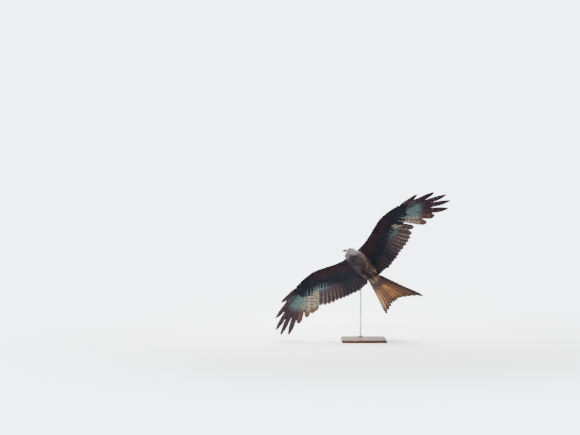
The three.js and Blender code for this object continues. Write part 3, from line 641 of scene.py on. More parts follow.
def step_between(tree, value, low, high):
    """A smooth step of a value, from 0 at low to 1 at high."""
    ends = {"From Min": low, "From Max": high, "Value": value}
    return add_node(tree, "ShaderNodeMapRange", ends, interpolation_type="SMOOTHSTEP").outputs["Result"]


def mixed(tree, share, first, second):
    """Two colours, each a tone or a socket, mixed by a share."""
    first, second = (c if isinstance(c, bpy.types.NodeSocket) else (*c, 1.0) for c in (first, second))
    made = add_node(tree, "ShaderNodeMix", {"Factor": share, 6: first, 7: second}, data_type="RGBA")
    return made.outputs[2]


# Barbs: fine slanting lines on both sides of the shaft, parted into strands, with the shaft as a ridge
barbs, given, asked = new_group(
    "barbs", {"Along": 0.0, "Across": 0.0, "Seed": 0.0, "Pitch": 0.0011}, ["Height", "Strand", "Shaft"])
slant = reckon(barbs, "SUBTRACT", given["Along"], reckon(barbs, "ABSOLUTE", given["Across"]))
phase = reckon(barbs, "DIVIDE", slant, given["Pitch"])
wave = reckon(barbs, "SINE", reckon(barbs, "MULTIPLY", phase, math.tau))
strand_place = add_node(barbs, "ShaderNodeCombineXYZ", {
    "X": reckon(barbs, "MULTIPLY", phase, 0.16),
    "Y": reckon(barbs, "MULTIPLY", given["Across"], 40.0),
    "Z": reckon(barbs, "MULTIPLY", given["Seed"], 91.0),
})
strand = add_noise(barbs, 1.0, 3.0, strand_place.outputs[0])
shaft = step_between(barbs, reckon(barbs, "ABSOLUTE", given["Across"]), 0.0013, 0.0003)
ripple = reckon(barbs, "MULTIPLY", wave, 0.25)
height = reckon(barbs, "ADD", reckon(barbs, "ADD", ripple, strand), shaft)
barbs.links.new(height, asked["Height"])
barbs.links.new(strand, asked["Strand"])
barbs.links.new(shaft, asked["Shaft"])

# Cross bars: dark bars over a vane, a little broken and bent back to its edges
bars, given, asked = new_group(
    "cross bars", {"Along": 0.0, "Across": 0.0, "Seed": 0.0, "Count": 16.0, "Strength": 0.0}, ["Mask"])
wobble_place = add_node(bars, "ShaderNodeCombineXYZ", {
    "X": reckon(bars, "MULTIPLY", given["Along"], 9.0),
    "Y": reckon(bars, "MULTIPLY", given["Across"], 1.5),
    "Z": reckon(bars, "MULTIPLY", given["Seed"], 57.0),
})
wobble = add_noise(bars, 1.0, 2.0, wobble_place.outputs[0])
bent = reckon(bars, "MULTIPLY", reckon(bars, "ABSOLUTE", given["Across"]), -0.30)
turns = reckon(bars, "ADD", reckon(bars, "MULTIPLY", given["Along"], given["Count"]), bent)
turns = reckon(bars, "ADD", turns, reckon(bars, "MULTIPLY", wobble, 1.1))
bar = step_between(bars, reckon(bars, "SINE", reckon(bars, "MULTIPLY", turns, math.tau)), 0.05, 0.7)
bars.links.new(reckon(bars, "MULTIPLY", bar, given["Strength"]), asked["Mask"])


def plumage_finish(name, roughness, pitch, bar_count, bar_tone, strand_depth, shaft_tone, shaft_share, sheen):
    """The finish of one kind of feather: its dye, bars, strands and shaft, with a soft sheen."""
    finish, tree, shader = new_finish(name, roughness, 0.10)
    share = add_node(tree, "ShaderNodeSeparateXYZ", {0: read_paint(tree, "blade")["Vector"]}).outputs
    metres = add_node(tree, "ShaderNodeSeparateXYZ", {0: read_paint(tree, "reach")["Vector"]}).outputs
    lines = add_node(tree, "ShaderNodeGroup", {
        "Along": metres["X"], "Across": metres["Y"], "Seed": share["Z"],
        "Pitch": pitch}, node_tree=barbs).outputs
    crossed = add_node(tree, "ShaderNodeGroup", {
        "Along": share["X"], "Across": share["Y"], "Seed": share["Z"],
        "Strength": metres["Z"], "Count": bar_count}, node_tree=bars).outputs
    barred = mixed(tree, crossed["Mask"], read_paint(tree, "coat")["Color"], bar_tone)
    strands = drawn_out(tree, lines["Strand"], 1.0 - strand_depth, 1.0 + strand_depth)
    on_shaft = reckon(tree, "MULTIPLY", lines["Shaft"], shaft_share)
    shafted = mixed(tree, on_shaft, shaded(tree, barred, strands), shaft_tone)
    cover(tree, shader, shafted, lines["Height"], 0.35, 0.0006)
    shader.inputs["Sheen Weight"].default_value = sheen
    shader.inputs["Sheen Roughness"].default_value = 0.45
    return finish


def weave(name, spine, side, up, front, rear, shares, across, camber, thick, above, below, bar, place, seeds):
    """Many vanes as one mesh, each a closed thin blade over its shaft.

    spine, side and up are (vanes, stations, 3) in the bird's frame. front and rear are how far the vane
    reaches on each side of its shaft, and shares are the stations' shares of its length, all
    (vanes, stations). above and below are the dyes of both faces, (vanes, stations, columns, 3), bar is how
    strong the bars are, and place holds the baking places of both faces, (vanes, stations, columns, 2).
    """
    vanes, stations, _ = spine.shape
    columns = len(across)
    web = np.where(across > 0, front[:, :, None], rear[:, :, None])
    flat = spine[:, :, None] + side[:, :, None] * (web * across)[..., None]
    drop = camber * web * across ** 2
    half = (thick[0] + (thick[1] - thick[0]) * (1 - np.abs(across)) ** 3) / 2
    tops = flat + up[:, :, None] * (half - drop)[..., None]
    lows = flat - up[:, :, None] * (half + drop)[..., None]
    points = np.concatenate([tops, lows[:, :, -2:0:-1]], axis=2)
    dye = np.concatenate([below[:, :, :1], above[:, :, 1:], below[:, :, -2:0:-1]], axis=2)
    ring = 2 * columns - 2
    column_of = np.array([j if j < columns else ring - j for j in range(ring)])

    corners, starts = [], []
    for i in range(stations - 1):
        for j in range(ring):
            k = (j + 1) % ring
            starts.append(len(corners))
            around = ((i, j), (i, k), (i + 1, k), (i + 1, j))
            corners += [(row, spot, j < columns - 1) for row, spot in around]
    for row, order in ((0, range(ring - 1, -1, -1)), (stations - 1, range(ring))):
        starts.append(len(corners))
        corners += [(row, spot, True) for spot in order]
    starts = np.array(starts)
    ends = np.append(starts[1:], len(corners))
    straight = np.arange(len(corners))
    flipped = np.concatenate([straight[low:high][::-1] for low, high in zip(starts, ends)])
    corners = np.array(corners)
    spots = corners[:, 0] * ring + corners[:, 1]

    flat_points = points.reshape(vanes, -1, 3)
    quad = spots[:4 * (stations - 1) * ring].reshape(-1, 4)
    a, b, c, d = (flat_points[:, quad[:, k]] for k in range(4))
    bulk = (a * np.cross(b, c)).sum((1, 2)) + (a * np.cross(c, d)).sum((1, 2))
    middle = flat_points.mean(axis=1, keepdims=True)
    bulk -= ((middle * np.cross(b, c)).sum((1, 2)) + (middle * np.cross(c, d)).sum((1, 2)))
    order = np.where((bulk < 0)[:, None], flipped, straight)
    size = stations * ring
    loops = (np.arange(vanes)[:, None] * size + spots[order]).ravel()
    which = np.arange(vanes)[:, None]
    row = corners[order, 0]
    column = column_of[corners[order, 1]]
    on_top = corners[order, 2].astype(bool)
    places = np.where(on_top[..., None], place[0][which, row, column], place[1][which, row, column])

    made = bpy.data.meshes.new(name)
    made.vertices.add(vanes * size)
    made.vertices.foreach_set("co", moved(points.reshape(-1, 3), BIRD).astype(np.float32).ravel())
    made.loops.add(len(loops))
    made.loops.foreach_set("vertex_index", loops.astype(np.int32))
    made.polygons.add(vanes * len(starts))
    all_starts = (np.arange(vanes)[:, None] * len(corners) + starts).ravel()
    made.polygons.foreach_set("loop_start", all_starts.astype(np.int32))
    made.polygons.foreach_set("use_smooth", np.ones(len(all_starts), bool))
    made.update(calc_edges=True)
    made.set_sharp_from_angle(angle=BLADE_SHARP)

    long = np.linalg.norm(np.diff(spine, axis=1), axis=2)
    run = np.concatenate([np.zeros((vanes, 1)), np.cumsum(long, axis=1)], axis=1)
    full = (vanes, stations, ring)
    blade = np.stack([
        np.broadcast_to(shares[:, :, None], full),
        np.broadcast_to(across[column_of][None, None, :], full),
        np.broadcast_to(seeds[:, None, None], full)], axis=-1)
    reach = np.stack([
        np.broadcast_to(run[:, :, None], full),
        (web * across)[:, :, column_of],
        bar[:, :, column_of]], axis=-1)
    add_paint(made, "blade", "FLOAT_VECTOR", blade)
    add_paint(made, "reach", "FLOAT_VECTOR", reach)
    add_paint(made, "coat", "FLOAT_COLOR", np.concatenate([dye, np.ones(full + (1,))], axis=-1))
    bake = made.uv_layers.new(name="OFBake")
    bake.data.foreach_set("uv", places.astype(np.float32).ravel())
    return made


def finger_outline(t, narrow):
    cut = mix(1, narrow, smooth(0.42, 0.57, t))
    return mix(0.3, 1, smooth(0, 0.22, t)) * cut * np.sqrt(1 - 0.955 * smooth(0.79, 1.03, t))


def round_outline(t):
    end = np.clip((t - 0.84) / 0.16, 0, 1)
    return mix(0.35, 1, smooth(0, 0.25, t)) * np.sqrt(1 - 0.96 * end * end)


def blunt_outline(t):
    end = np.clip((t - 0.80) / 0.20, 0, 1)
    return mix(0.35, 1, smooth(0, 0.25, t)) * np.sqrt(1 - 0.97 * end ** 1.6)


def vane_path(root, tip, bend, t):
    """A shaft's points and its leading direction, over the wing's plane."""
    root, tip = np.array(root), np.array(tip)
    ahead = unit(np.array([root[1] - tip[1], tip[0] - root[0]]))
    middle = (root + tip) / 2 + ahead * bend
    t = t[:, None]
    c = root * (1 - t) ** 2 + middle * 2 * t * (1 - t) + tip * t * t
    tangent = unit((middle - root) * (1 - t) + (tip - middle) * t)
    return c, np.stack([-tangent[:, 1], tangent[:, 0]], axis=1)


def quill(side, root, tip, bend, width, lead, outline, height, roll=VANE_ROLL):
    """One flight feather: its shaft, directions, reach to both sides and stations, its webs split."""
    even = 1 - (1 - np.linspace(0, 1, QUILL_EVEN)) ** 1.25
    splits = np.sort(draw.uniform(0.42, 0.94, QUILL_SPLITS))
    t = np.sort(np.concatenate([even, splits - SPLIT_HALF, splits, splits + SPLIT_HALF]))
    c, leading = vane_path(root, tip, bend, t)
    lift = height(c[:, 0], c[:, 1])
    spine = np.stack([side * c[:, 0], c[:, 1], lift], axis=1)
    slope = np.full(len(t), math.tan(roll))
    across = np.stack([side * leading[:, 0], leading[:, 1], slope], axis=1)
    up = np.tile([0.0, 0.0, 1.0], (len(t), 1))
    wide = width * outline(t)
    front, rear = wide * lead, wide * (1 - lead)
    for split in splits:
        depth = draw.uniform(0.05, 0.17)
        notch = 1 - depth * (np.abs(t - split) < 0.002)
        if draw.uniform() < 0.7:
            rear = rear * notch
        else:
            front = front * notch
    return {"spine": spine, "side": across, "up": up, "front": front, "rear": rear, "shares": t}


def add_dyes(vane, below, above, bar):
    """Dyes for a vane from those of its stations and columns, with its own slight tint."""
    tint = draw.uniform(0.9, 1.1)
    vane.update({"below": below * tint, "above": above * tint, "bar": bar, "seed": draw.uniform()})
    return vane


def primary_dyes(i, t):
    """Dyes of a primary: a pale base on the outer ones, cream webs on the inner ones, and a dark tip."""
    tt, aa = t[:, None], QUILL_ACROSS[None, :]
    inner = smooth(3.5, 6.5, float(i))
    edge = mix(0.48, 0.84, inner) - 0.06 * (aa > 0)
    dark = smooth(edge - 0.10, edge + 0.06, tt)
    dark = np.maximum(dark, (1 - smooth(0.3, 2.8, float(i))) + 0 * tt)
    # The outer primaries' pale window carries the painted shade of its dull teal grey.
    pale = mix(WINDOW_PALE_IN_SHADE, INNER_CREAM, (inner * smooth(0.22, 0.45, tt))[..., None])
    tip = mix(PRIMARY_TIP, INNER_TIP, inner)
    below = mix(pale, tip, dark[..., None])
    base = smooth(0.10, 0.30, tt)
    below = below * mix(0.55, 1.0, base)[..., None]
    lead_dark = (smooth(-0.8, 0.1, aa) * 0.5 * (1 - dark))[..., None]
    below = mix(below, tip, lead_dark)
    above = mix(QUILL_ABOVE_PALE, QUILL_ABOVE, smooth(0.2, 0.6, tt)[..., None]) + 0 * below
    bar = mix(0.30, 0.75, inner) * (1 - dark) * smooth(0.9, 0.2, aa)
    return below, above, bar + 0 * tt * aa


def secondary_dyes(i, t):
    """Dyes of a secondary: grey-brown with bars and a pale tip, paler at the base near the hand."""
    tt, aa = t[:, None], QUILL_ACROSS[None, :]
    outer = smooth(5.0, 0.0, float(i))
    # The inner ones' deep blue dye and the outer ones' dull teal bases are partly painted shade.
    ground = mix(SECONDARY_DARK, SECONDARY_GREY, smooth(8.0, 3.0, float(i)))
    ground = mix(ground, WINDOW_PALE_IN_SHADE, (outer * smooth(0.60, 0.35, tt) * 0.9)[..., None])
    tip = smooth(0.90, 0.97, tt)[..., None]
    below = mix(ground + 0 * tip, SECONDARY_EDGE, tip * 0.35)
    edge = (smooth(0.7, 1.0, -aa) * smooth(0.4, 0.7, tt))[..., None]
    webs = mix(SECONDARY_EDGE, INNER_CREAM, outer)
    below = mix(below, webs, edge * mix(0.15, 0.9, smooth(7.0, 3.0, float(i))))
    above = mix(QUILL_ABOVE, QUILL_ABOVE_PALE, tip) + 0 * below
    bar = mix(0.35, 0.75, smooth(7.0, 3.0, float(i))) * smooth(0.93, 0.86, tt) * smooth(0.3, 0.45, tt)
    return below, above, bar + 0 * aa


def hand_quills(side):
    """The primaries of one hand, from the outermost in."""
    vanes = []
    for i, (length, sweep, fingered) in enumerate(PRIMARIES):
        root = (float(PRIMARY_ROOTS(i, 1)), float(PRIMARY_ROOTS(i, 2)))
        long_share, wide_share, turn = GROWING.get(i, (1, 1, 0)) if side < 0 else (1, 1, 0)
        long = long_share * length
        a = math.radians(sweep - turn)
        inward = i / (len(PRIMARIES) - 1)
        tip = (root[0] + long * math.cos(a), root[1] - long * math.sin(a))
        outline = (lambda t, n=FINGER_NARROW[i]: finger_outline(t, n)) if fingered else round_outline
        width = wide_share * (FIRST_PRIMARY_WIDE if i == 0 else PRIMARY_WIDE)
        bend = mix(0.010, 0.002, inward)
        made = quill(side, root, tip, bend, width, mix(0.3, 0.4, inward), outline, sheet)
        vanes.append(add_dyes(made, *primary_dyes(i, made["shares"])))
    return vanes


def arm_quills(side):
    """The secondaries and then the tertials of one arm, from the hand in."""
    vanes = []
    for i in range(SECONDARIES + TERTIALS):
        tertial = i >= SECONDARIES
        n = i - SECONDARIES if tertial else i
        roots, tips = (TERTIAL_ROOTS, TERTIAL_TIPS) if tertial else (SECONDARY_ROOTS, SECONDARY_TIPS)
        out = LEFT_FIRST_OUT if side < 0 and i == 0 else 0.0
        root = (float(roots(n, 1)), float(roots(n, 2)))
        tip_out = float(tips(n, 1)) + out + draw.uniform(-0.002, 0.002)
        tip = (tip_out, float(tips(n, 2)) + draw.uniform(-0.003, 0.003))
        made = quill(
            side, root, tip, SECONDARY_BEND, SECONDARY_WIDE, SECONDARY_LEAD, blunt_outline, sheet)
        vanes.append(add_dyes(made, *secondary_dyes(i, made["shares"])))
    return vanes


def strips(count, stations):
    """Baking places of large vanes: each face of each feather is a strip of its own."""
    step = 1.0 / count
    along = np.linspace(0.02, 0.98, stations)[None, :, None]
    wide = ((QUILL_ACROSS + 1) / 2 * step * 0.42)[None, None, :]
    both = []
    for face in (0, 1):
        left = (np.arange(count) + 0.04 + 0.5 * face) * step
        u = left[:, None, None] + wide + 0 * along
        both.append(np.stack([u, along + 0 * u], axis=-1))
    return both


def weave_quills(name, vanes):
    """Flight or tail feathers as one mesh."""
    stack = {key: np.stack([vane[key] for vane in vanes]) for key in vanes[0]}
    place = strips(*stack["shares"].shape)
    return weave(
        name, stack["spine"], stack["side"], stack["up"], stack["front"], stack["rear"], stack["shares"],
        QUILL_ACROSS, 0.05, QUILL_THICK, stack["above"], stack["below"], stack["bar"], place, stack["seed"])


quill_finish = plumage_finish(
    "flight_feather", 0.55, 0.0013, 11.0, tone(44, 34, 38), 0.12, tone(84, 72, 64), 0.5, 0.03)
for side, name in ((1, "right"), (-1, "left")):
    hand_mesh = weave_quills(f"primaries_{name}", hand_quills(side))
    place_piece(hand_mesh, f"primaries_{name}", quill_finish, [f"wing_{name}_hand"])
    arm_mesh = weave_quills(f"secondaries_{name}", arm_quills(side))
    place_piece(arm_mesh, f"secondaries_{name}", quill_finish, [f"wing_{name}_arm"])

# Tail: six feathers on each side of a middle line, fanned and forked, in a frame of their own. They lie as
# tiles, the middle pair on top, and are rufous with thin dark bars, the outer corners dusky.
# The length of each feather, from the middle pair out
TAIL_LENGTHS = [0.305, 0.311, 0.324, 0.344, 0.371, 0.406]
TAIL_SPREAD = math.radians(25.6)
TAIL_ROOT = 0.030
TAIL_ROOT_HALF = 0.034
TAIL_WIDE_INNER = 0.047
TAIL_WIDE_OUTER = 0.039
TAIL_ROLL = 4.6
TAIL_ROLL_TOP = 3.4
TAIL_TOP_LIFT = 0.0014
TAIL_RUFOUS = tone(122, 66, 28)
# Painted light: a bright cream for light falling on the tail's underside and light glowing through it.
TAIL_GLOW_CREAM = tone(176, 128, 78)
TAIL_BROWN = tone(28, 20, 17)
TAIL_DUSK = tone(27, 21, 23)
TAIL_ABOVE = tone(88, 38, 13)


def tail_dyes(side, i, t):
    """Dyes of a tail feather: rufous with a browner base and dusky outer corners, with painted shadow where
    the next feather overlaps, painted glow on the open inner web and a painted highlight on the right's outer
    feathers.
    """
    tt, aa = t[:, None], QUILL_ACROSS[None, :]
    outer = i / (len(TAIL_LENGTHS) - 1)
    ground = mix(TAIL_RUFOUS, TAIL_BROWN, (smooth(0.66, 0.3, tt) * smooth(-1.4, -0.6, aa))[..., None])
    # Painted shadow: a dark streak on each feather next to the edge of the feather that overlaps it.
    overlap_shadow = smooth(-0.95, -0.66, aa) * mix(0.8, 1.0, draw.uniform())
    ground = mix(ground, TAIL_BROWN, overlap_shadow[..., None])
    # Painted light: the right's outer feathers are painted cream where light falls on them most, and each
    # open inner web where light glows through one layer.
    lit_outer_feathers = (0.5 if side > 0 else 0.0) * smooth(0.75, 0.95, outer)
    painted_glow = lit_outer_feathers + mix(0.3, 0.8, draw.uniform()) * smooth(0.6, 0.9, -aa)
    below = mix(ground, TAIL_GLOW_CREAM, (np.clip(painted_glow, 0, 1) * smooth(0.3, 0.55, tt))[..., None])
    if side < 0:
        dusk = smooth(0.3, 0.9, outer) * mix(0.5, 0.9, smooth(-1.0, -0.7, aa))
        below = mix(below, TAIL_DUSK, dusk[..., None])
    below = mix(below, TAIL_BROWN, (0.65 * smooth(0.52, 0.26, tt) + 0 * aa)[..., None])
    corner = smooth(mix(0.82, 0.72, outer), 0.92, tt) * mix(0.6, 1.0, outer) * smooth(-2.4, -0.6, aa)
    below = mix(below, TAIL_DUSK, (corner * 0.95)[..., None])
    duller = np.maximum(corner * 0.8, smooth(0.8, 1.0, outer) * smooth(0.0, 1.0, aa) * 0.7)
    above = mix(TAIL_ABOVE + 0 * below, TAIL_DUSK, duller[..., None])
    bar = 0.32 * smooth(0.15, 0.3, tt) * smooth(0.99, 0.9, tt) + 0 * aa
    return below, above, bar


tail_vanes = []
for side in (-1, 1):
    for i, length in enumerate(TAIL_LENGTHS):
        share = (i + 0.5) / len(TAIL_LENGTHS)
        a = TAIL_SPREAD * share
        root = (TAIL_ROOT_HALF * share, TAIL_ROOT)
        long = length + TAIL_ROOT - draw.uniform(0.0, 0.010)
        tip = (root[0] + long * math.sin(a), root[1] - long * math.cos(a))
        over = TAIL_TOP_LIFT if side < 0 and i == 0 else 0.0
        roll = math.radians(TAIL_ROLL_TOP if side > 0 and i == 0 else TAIL_ROLL)
        width = mix(TAIL_WIDE_INNER, TAIL_WIDE_OUTER, share)
        made = quill(
            side, root, tip, -0.022 * share, width, mix(0.5, 0.36, share), round_outline,
            lambda x, y: over + 0 * x, roll)
        made["spine"] = moved(made["spine"], TAIL)
        for way in ("side", "up"):
            made[way] = turned(made[way], TAIL)
        tail_vanes.append(add_dyes(made, *tail_dyes(side, i, made["shares"])))
tail_finish = plumage_finish(
    "tail_feather", 0.5, 0.0013, 15.0, tone(74, 44, 26), 0.18, tone(44, 28, 22), 0.8, 0.03)
place_piece(weave_quills("tail_feathers", tail_vanes), "tail_feathers", tail_finish, ["tail"])

# Coverts: rows of shorter feathers that lie as tiles over the roots of the flight feathers on both faces of
# the wing. The greater and median ones stand in three rows, and the lesser ones in many rows on to the
# leading edge.
HAND_SPAN = (0.352, 0.492)
ARM_SPAN = (0.060, 0.345)
# Rows of [count on the hand, on the arm, root and tip behind the flesh's edge, width, height off the sheet]
COVERT_ROWS = [
    (11, 15, -0.020, 0.062, 0.030, 0.0040),
    (9, 15, -0.036, 0.030, 0.027, 0.0058),
    (9, 15, -0.050, 0.010, 0.024, 0.0068),
]
COVERT_LEAN = through([[0.060, 84], [0.340, 55], [0.430, 32], [0.490, 8]])
SMALL_ACROSS = np.array([-1, -0.5, 0, 0.5, 1.0])
COVERT_STATIONS = np.array([0, 0.15, 0.32, 0.5, 0.66, 0.8, 0.9, 0.97, 1.0])
SMALL_STATIONS = np.array([0, 0.25, 0.5, 0.7, 0.84, 0.94, 1.0])
COVERT_ROLL = math.radians(3.0)
LESSER_STEP = 0.0105
LESSER_LONG = 0.026
LESSER_WIDE = 0.0135
LESSER_FROM = 0.062
LESSER_TO = 0.478
LESSER_STOP = 0.018
COVERT_CAMBER = 0.10
COVERT_THICK = (0.0004, 0.0012)
LESSER_CAMBER = 0.18
LESSER_THICK = (0.0003, 0.0007)
PATCH_SIZE = 0.003
# The underwing coverts' dyes are deep with a blue cast: partly their dark plumage, partly painted shade of
# the underside.
UNDER_COVERT_DARK_AND_SHADE = tone(15, 18, 28)
UNDER_MAROON = tone(34, 20, 27)
COVERT_EDGE = tone(44, 34, 38)
ABOVE_BUFF = tone(100, 70, 45)
ABOVE_RUFOUS = tone(66, 38, 24)
ABOVE_DARK = tone(26, 20, 18)


def covert_ground(x, y, face):
    """Ground colour of the coverts at places on the wing's plane, below (-1) or above (1)."""
    edge = WING(x, 2)
    front = np.clip((y - edge) / np.maximum(WING(x, 1) - edge, 0.02), -1.0, 1.0)
    if face < 0:
        # Below, the deep blue-black ground is partly painted shade of the underside.
        lesser = smooth(0.25, 0.6, front) * smooth(0.40, 0.30, x)
        ground = mix(UNDER_COVERT_DARK_AND_SHADE, UNDER_MAROON, lesser[..., None])
        pale = smooth(-0.15, -0.5, front) * smooth(0.22, 0.30, x) * smooth(0.36, 0.33, x) * 0.08
        return mix(ground, WINDOW_PALE_IN_SHADE, pale[..., None])
    band = smooth(-0.25, 0.05, front) * smooth(0.55, 0.30, front) * smooth(0.40, 0.32, x)
    ground = mix(ABOVE_DARK, ABOVE_RUFOUS, (smooth(0.35, 0.7, front) * smooth(0.44, 0.34, x))[..., None])
    return mix(ground, ABOVE_BUFF, (band * 0.8)[..., None])


def pale_rim(t, end_from, sides_from, sides_share):
    """How pale small feathers are towards their ends and sides, by station and column."""
    sides = smooth(sides_from, 1.0, np.abs(SMALL_ACROSS))[None, :]
    sides = sides * np.broadcast_to(sides_share, t.shape)[:, None]
    return np.clip(smooth(end_from, 1.0, t)[:, None] + sides, 0, 1)[..., None]


def covert_dyes(x, y, face, t, edge_share):
    """Dyes of small feathers: darker along the shaft, paler at the edge."""
    ground = covert_ground(x, y, face)[:, None, None, :]
    rim = pale_rim(t, 0.80, 0.55, smooth(0.4, 0.8, t)) * edge_share
    edge = COVERT_EDGE if face < 0 else ABOVE_BUFF
    tint = draw.uniform(0.82, 1.18, len(x))[:, None, None, None]
    return mix(ground * tint, edge + 0 * ground, rim)


def covert_outline(t):
    end = np.clip((t - 0.60) / 0.40, 0, 1)
    return mix(0.5, 1, smooth(0, 0.3, t)) * np.sqrt(1 - 0.975 * end ** 2.3)


def wing_covert_row(side, face, row, span, count):
    """One row of greater or median coverts over one face of the hand or the arm."""
    root_at, tip_at, width, clear = row[2:]
    t = COVERT_STATIONS
    vanes = []
    for i in range(count):
        x = mix(span[1], span[0], (i + 0.5) / count) + draw.uniform(-0.0015, 0.0015)
        a = math.radians(float(COVERT_LEAN(x))) + draw.uniform(-0.03, 0.03)
        away = np.array([math.cos(a), -math.sin(a)])
        edge, front = float(WING(x, 2)), float(WING(x, 1))
        root = np.array([x, edge]) + root_at * away
        long = tip_at - root_at + draw.uniform(-0.003, 0.003)
        if face < 0 and tip_at > 0.05:
            long += 0.030 * float(smooth(0.345, 0.375, x) * smooth(0.462, 0.425, x))
        c, leading = vane_path(root, root + long * away, 0.001, t)
        share = np.clip((front - c[:, 1]) / (front - edge), 0.05, 1)
        over = core_half(np.minimum(c[:, 0], WING_END), share)
        off = mix(over + 0.0006, clear, smooth(0.0, 0.9, t)) * smooth(-0.02, 0.0, share - 0.05) + 0 * t
        lift = sheet(c[:, 0], c[:, 1]) + face * off
        spine = np.stack([side * c[:, 0], c[:, 1], lift], axis=1)
        slope = np.full(len(t), math.tan(COVERT_ROLL))
        across = np.stack([side * leading[:, 0], leading[:, 1], slope], axis=1)
        vanes.append((spine, across, width * covert_outline(t), c))
    spine, side_way, wide, c = (np.stack(parts) for parts in zip(*vanes))
    dye = covert_dyes(c[:, 5, 0], c[:, 5, 1], face, t, 0.35)
    return spine, side_way, wide / 2, dye, c[:, 0], np.full(count, face)


def wing_centres(above, side, x, y):
    """Baking places on the unwrapped wings: a column for each side, with the upper face over the lower."""
    u = 0.25 + 0.22 * side * np.clip(x / 0.56, 0, 1)
    v = 0.25 + np.clip(y - 0.06, -0.2, 0.2) * 1.1 + 0.5 * above
    return np.stack([u * 1.9, v], axis=-1)


def patch(centres, stations):
    """Baking places of small vanes: a patch at each root's place, the same for both faces."""
    long = (np.linspace(0, 1, stations) - 0.5) * PATCH_SIZE
    wide = SMALL_ACROSS / 2 * PATCH_SIZE
    there = np.stack(np.broadcast_arrays(wide[None, :], long[:, None]), axis=-1)
    made = centres[:, None, None] + there
    return made, made


def weave_small(name, spine, side_way, up, wide, t, camber, thick, dye, centres):
    """Small feathers as one mesh, with the same dye on both faces and no bars."""
    count = len(spine)
    return weave(
        name, spine, side_way, up, wide, wide, np.tile(t, (count, 1)), SMALL_ACROSS, camber, thick, dye, dye,
        np.zeros(dye.shape[:3]), patch(centres, len(t)), draw.uniform(0, 1, count))


def coverts_mesh(name, side, span, of_part):
    """The greater and median coverts of both faces of one hand (0) or arm (1)."""
    rows = [wing_covert_row(side, face, row, span, row[of_part]) for row in COVERT_ROWS for face in (-1, 1)]
    spine, side_way, wide, dye, roots, faces = (np.concatenate(parts) for parts in zip(*rows))
    up = np.zeros_like(spine)
    up[..., 2] = faces[:, None]
    centres = wing_centres(faces > 0, side, roots[:, 0], roots[:, 1])
    return weave_small(
        name, spine, side_way, up, wide, COVERT_STATIONS, COVERT_CAMBER, COVERT_THICK, dye, centres)


def lesser_mesh(name, side):
    """Lesser coverts in rows over both faces of the flesh, from the leading edge back to the median row."""
    rows = []
    for face in (-1, 1):
        for x in np.arange(LESSER_FROM, LESSER_TO, LESSER_STEP):
            lead_y = float(WING(x, 1))
            span = lead_y - (float(WING(x, 2)) + LESSER_STOP)
            count = max(1, int(span / (LESSER_STEP * 0.92)))
            offset = 0.5 if int(x / LESSER_STEP) % 2 else 0
            for k in range(count):
                y = lead_y - 0.0015 - span * (k + draw.uniform(-0.2, 0.2) + offset) / count
                rows.append((face, x + draw.uniform(-0.002, 0.002), min(y, lead_y - 0.001)))
    face, x, y = np.array(rows).T
    t = SMALL_STATIONS
    lean = np.radians(COVERT_LEAN(x) - 8 + draw.uniform(-6, 6, len(x)))
    away = np.stack([np.cos(lean), -np.sin(lean)], axis=1)
    long = LESSER_LONG * draw.uniform(0.85, 1.1, len(x)) * mix(1.0, 0.72, smooth(0.36, 0.48, x))
    px = x[:, None] + away[:, None, 0] * long[:, None] * t
    py = y[:, None] + away[:, None, 1] * long[:, None] * t
    lead_y, rear_y = WING(px, 1), WING(px, 2)
    share = np.clip((lead_y - py) / (lead_y - rear_y), 0.012, 1)
    over = core_half(np.minimum(px, WING_END), share)
    rise = 0.0003 + 0.0026 * t[None, :]
    lift = sheet(px, py) + face[:, None] * (over + rise)
    spine = np.stack([side * px, py, lift], axis=-1)
    side_way = np.zeros_like(spine)
    side_way[..., 0] = (side * away[:, 1] * -1)[:, None]
    side_way[..., 1] = away[:, 0][:, None]
    tangent = unit(np.gradient(spine, axis=1))
    side_way = unit(side_way - tangent * (side_way * tangent).sum(-1, keepdims=True))
    up = unit(np.cross(side_way, tangent))
    up *= np.sign(up[..., 2:3] * face[:, None, None])
    wide = LESSER_WIDE * covert_outline(t)[None, :] * draw.uniform(0.9, 1.1, len(x))[:, None] * 0.62
    dye = np.zeros((len(x), len(t), len(SMALL_ACROSS), 3))
    for way in (-1, 1):
        chosen = face == way
        dye[chosen] = covert_dyes(x[chosen], y[chosen], way, t, 0.45)
    centres = wing_centres(face > 0, side, x, y)
    return weave_small(name, spine, side_way, up, wide, t, LESSER_CAMBER, LESSER_THICK, dye, centres)


covert_finish = plumage_finish(
    "covert_feather", 0.62, 0.0009, 9.0, tone(22, 20, 24), 0.16, tone(20, 17, 20), 0.6, 0.03)
for side, name in ((1, "right"), (-1, "left")):
    for of_part, (part, span) in enumerate((("hand", HAND_SPAN), ("arm", ARM_SPAN))):
        made = coverts_mesh(f"coverts_{name}_{part}", side, span, of_part)
        place_piece(made, f"coverts_{name}_{part}", covert_finish)
    made = lesser_mesh(f"lesser_coverts_{name}", side)
    place_piece(made, f"lesser_coverts_{name}", covert_finish)

# Contour feathers: the small feathers of head, neck, breast, back, thighs and tail root. They are sown over
# the skin as far apart as their size asks, and lie back along the body one over the other, smallest on the
# face.
BODY_STEP = 0.0088
NECK_STEP = 0.0062
CROWN_STEP = 0.0044
FACE_STEP = 0.0028
TUFT_STATIONS = np.array([0, 0.22, 0.45, 0.66, 0.81, 0.91, 0.97, 1.0])
TUFT_CAMBER = 0.22
TUFT_THICK = (0.0003, 0.0006)
BODY_HALF = 0.072
EYE_RADIUS = 0.0064
EYE_PLACE = np.array([0.0166, 0.0085, 0.0036])
BILL_ROOT = 0.0225
BILL_MIDDLE = np.array([0.0, 0.025, -0.003])
BILL_BARE = 0.016
HEAD_BACK = np.linalg.inv(HEAD)


def from_head(points):
    """The distance of places from the middle of the head."""
    return np.linalg.norm(points - np.array(HEAD_PLACE), axis=-1)


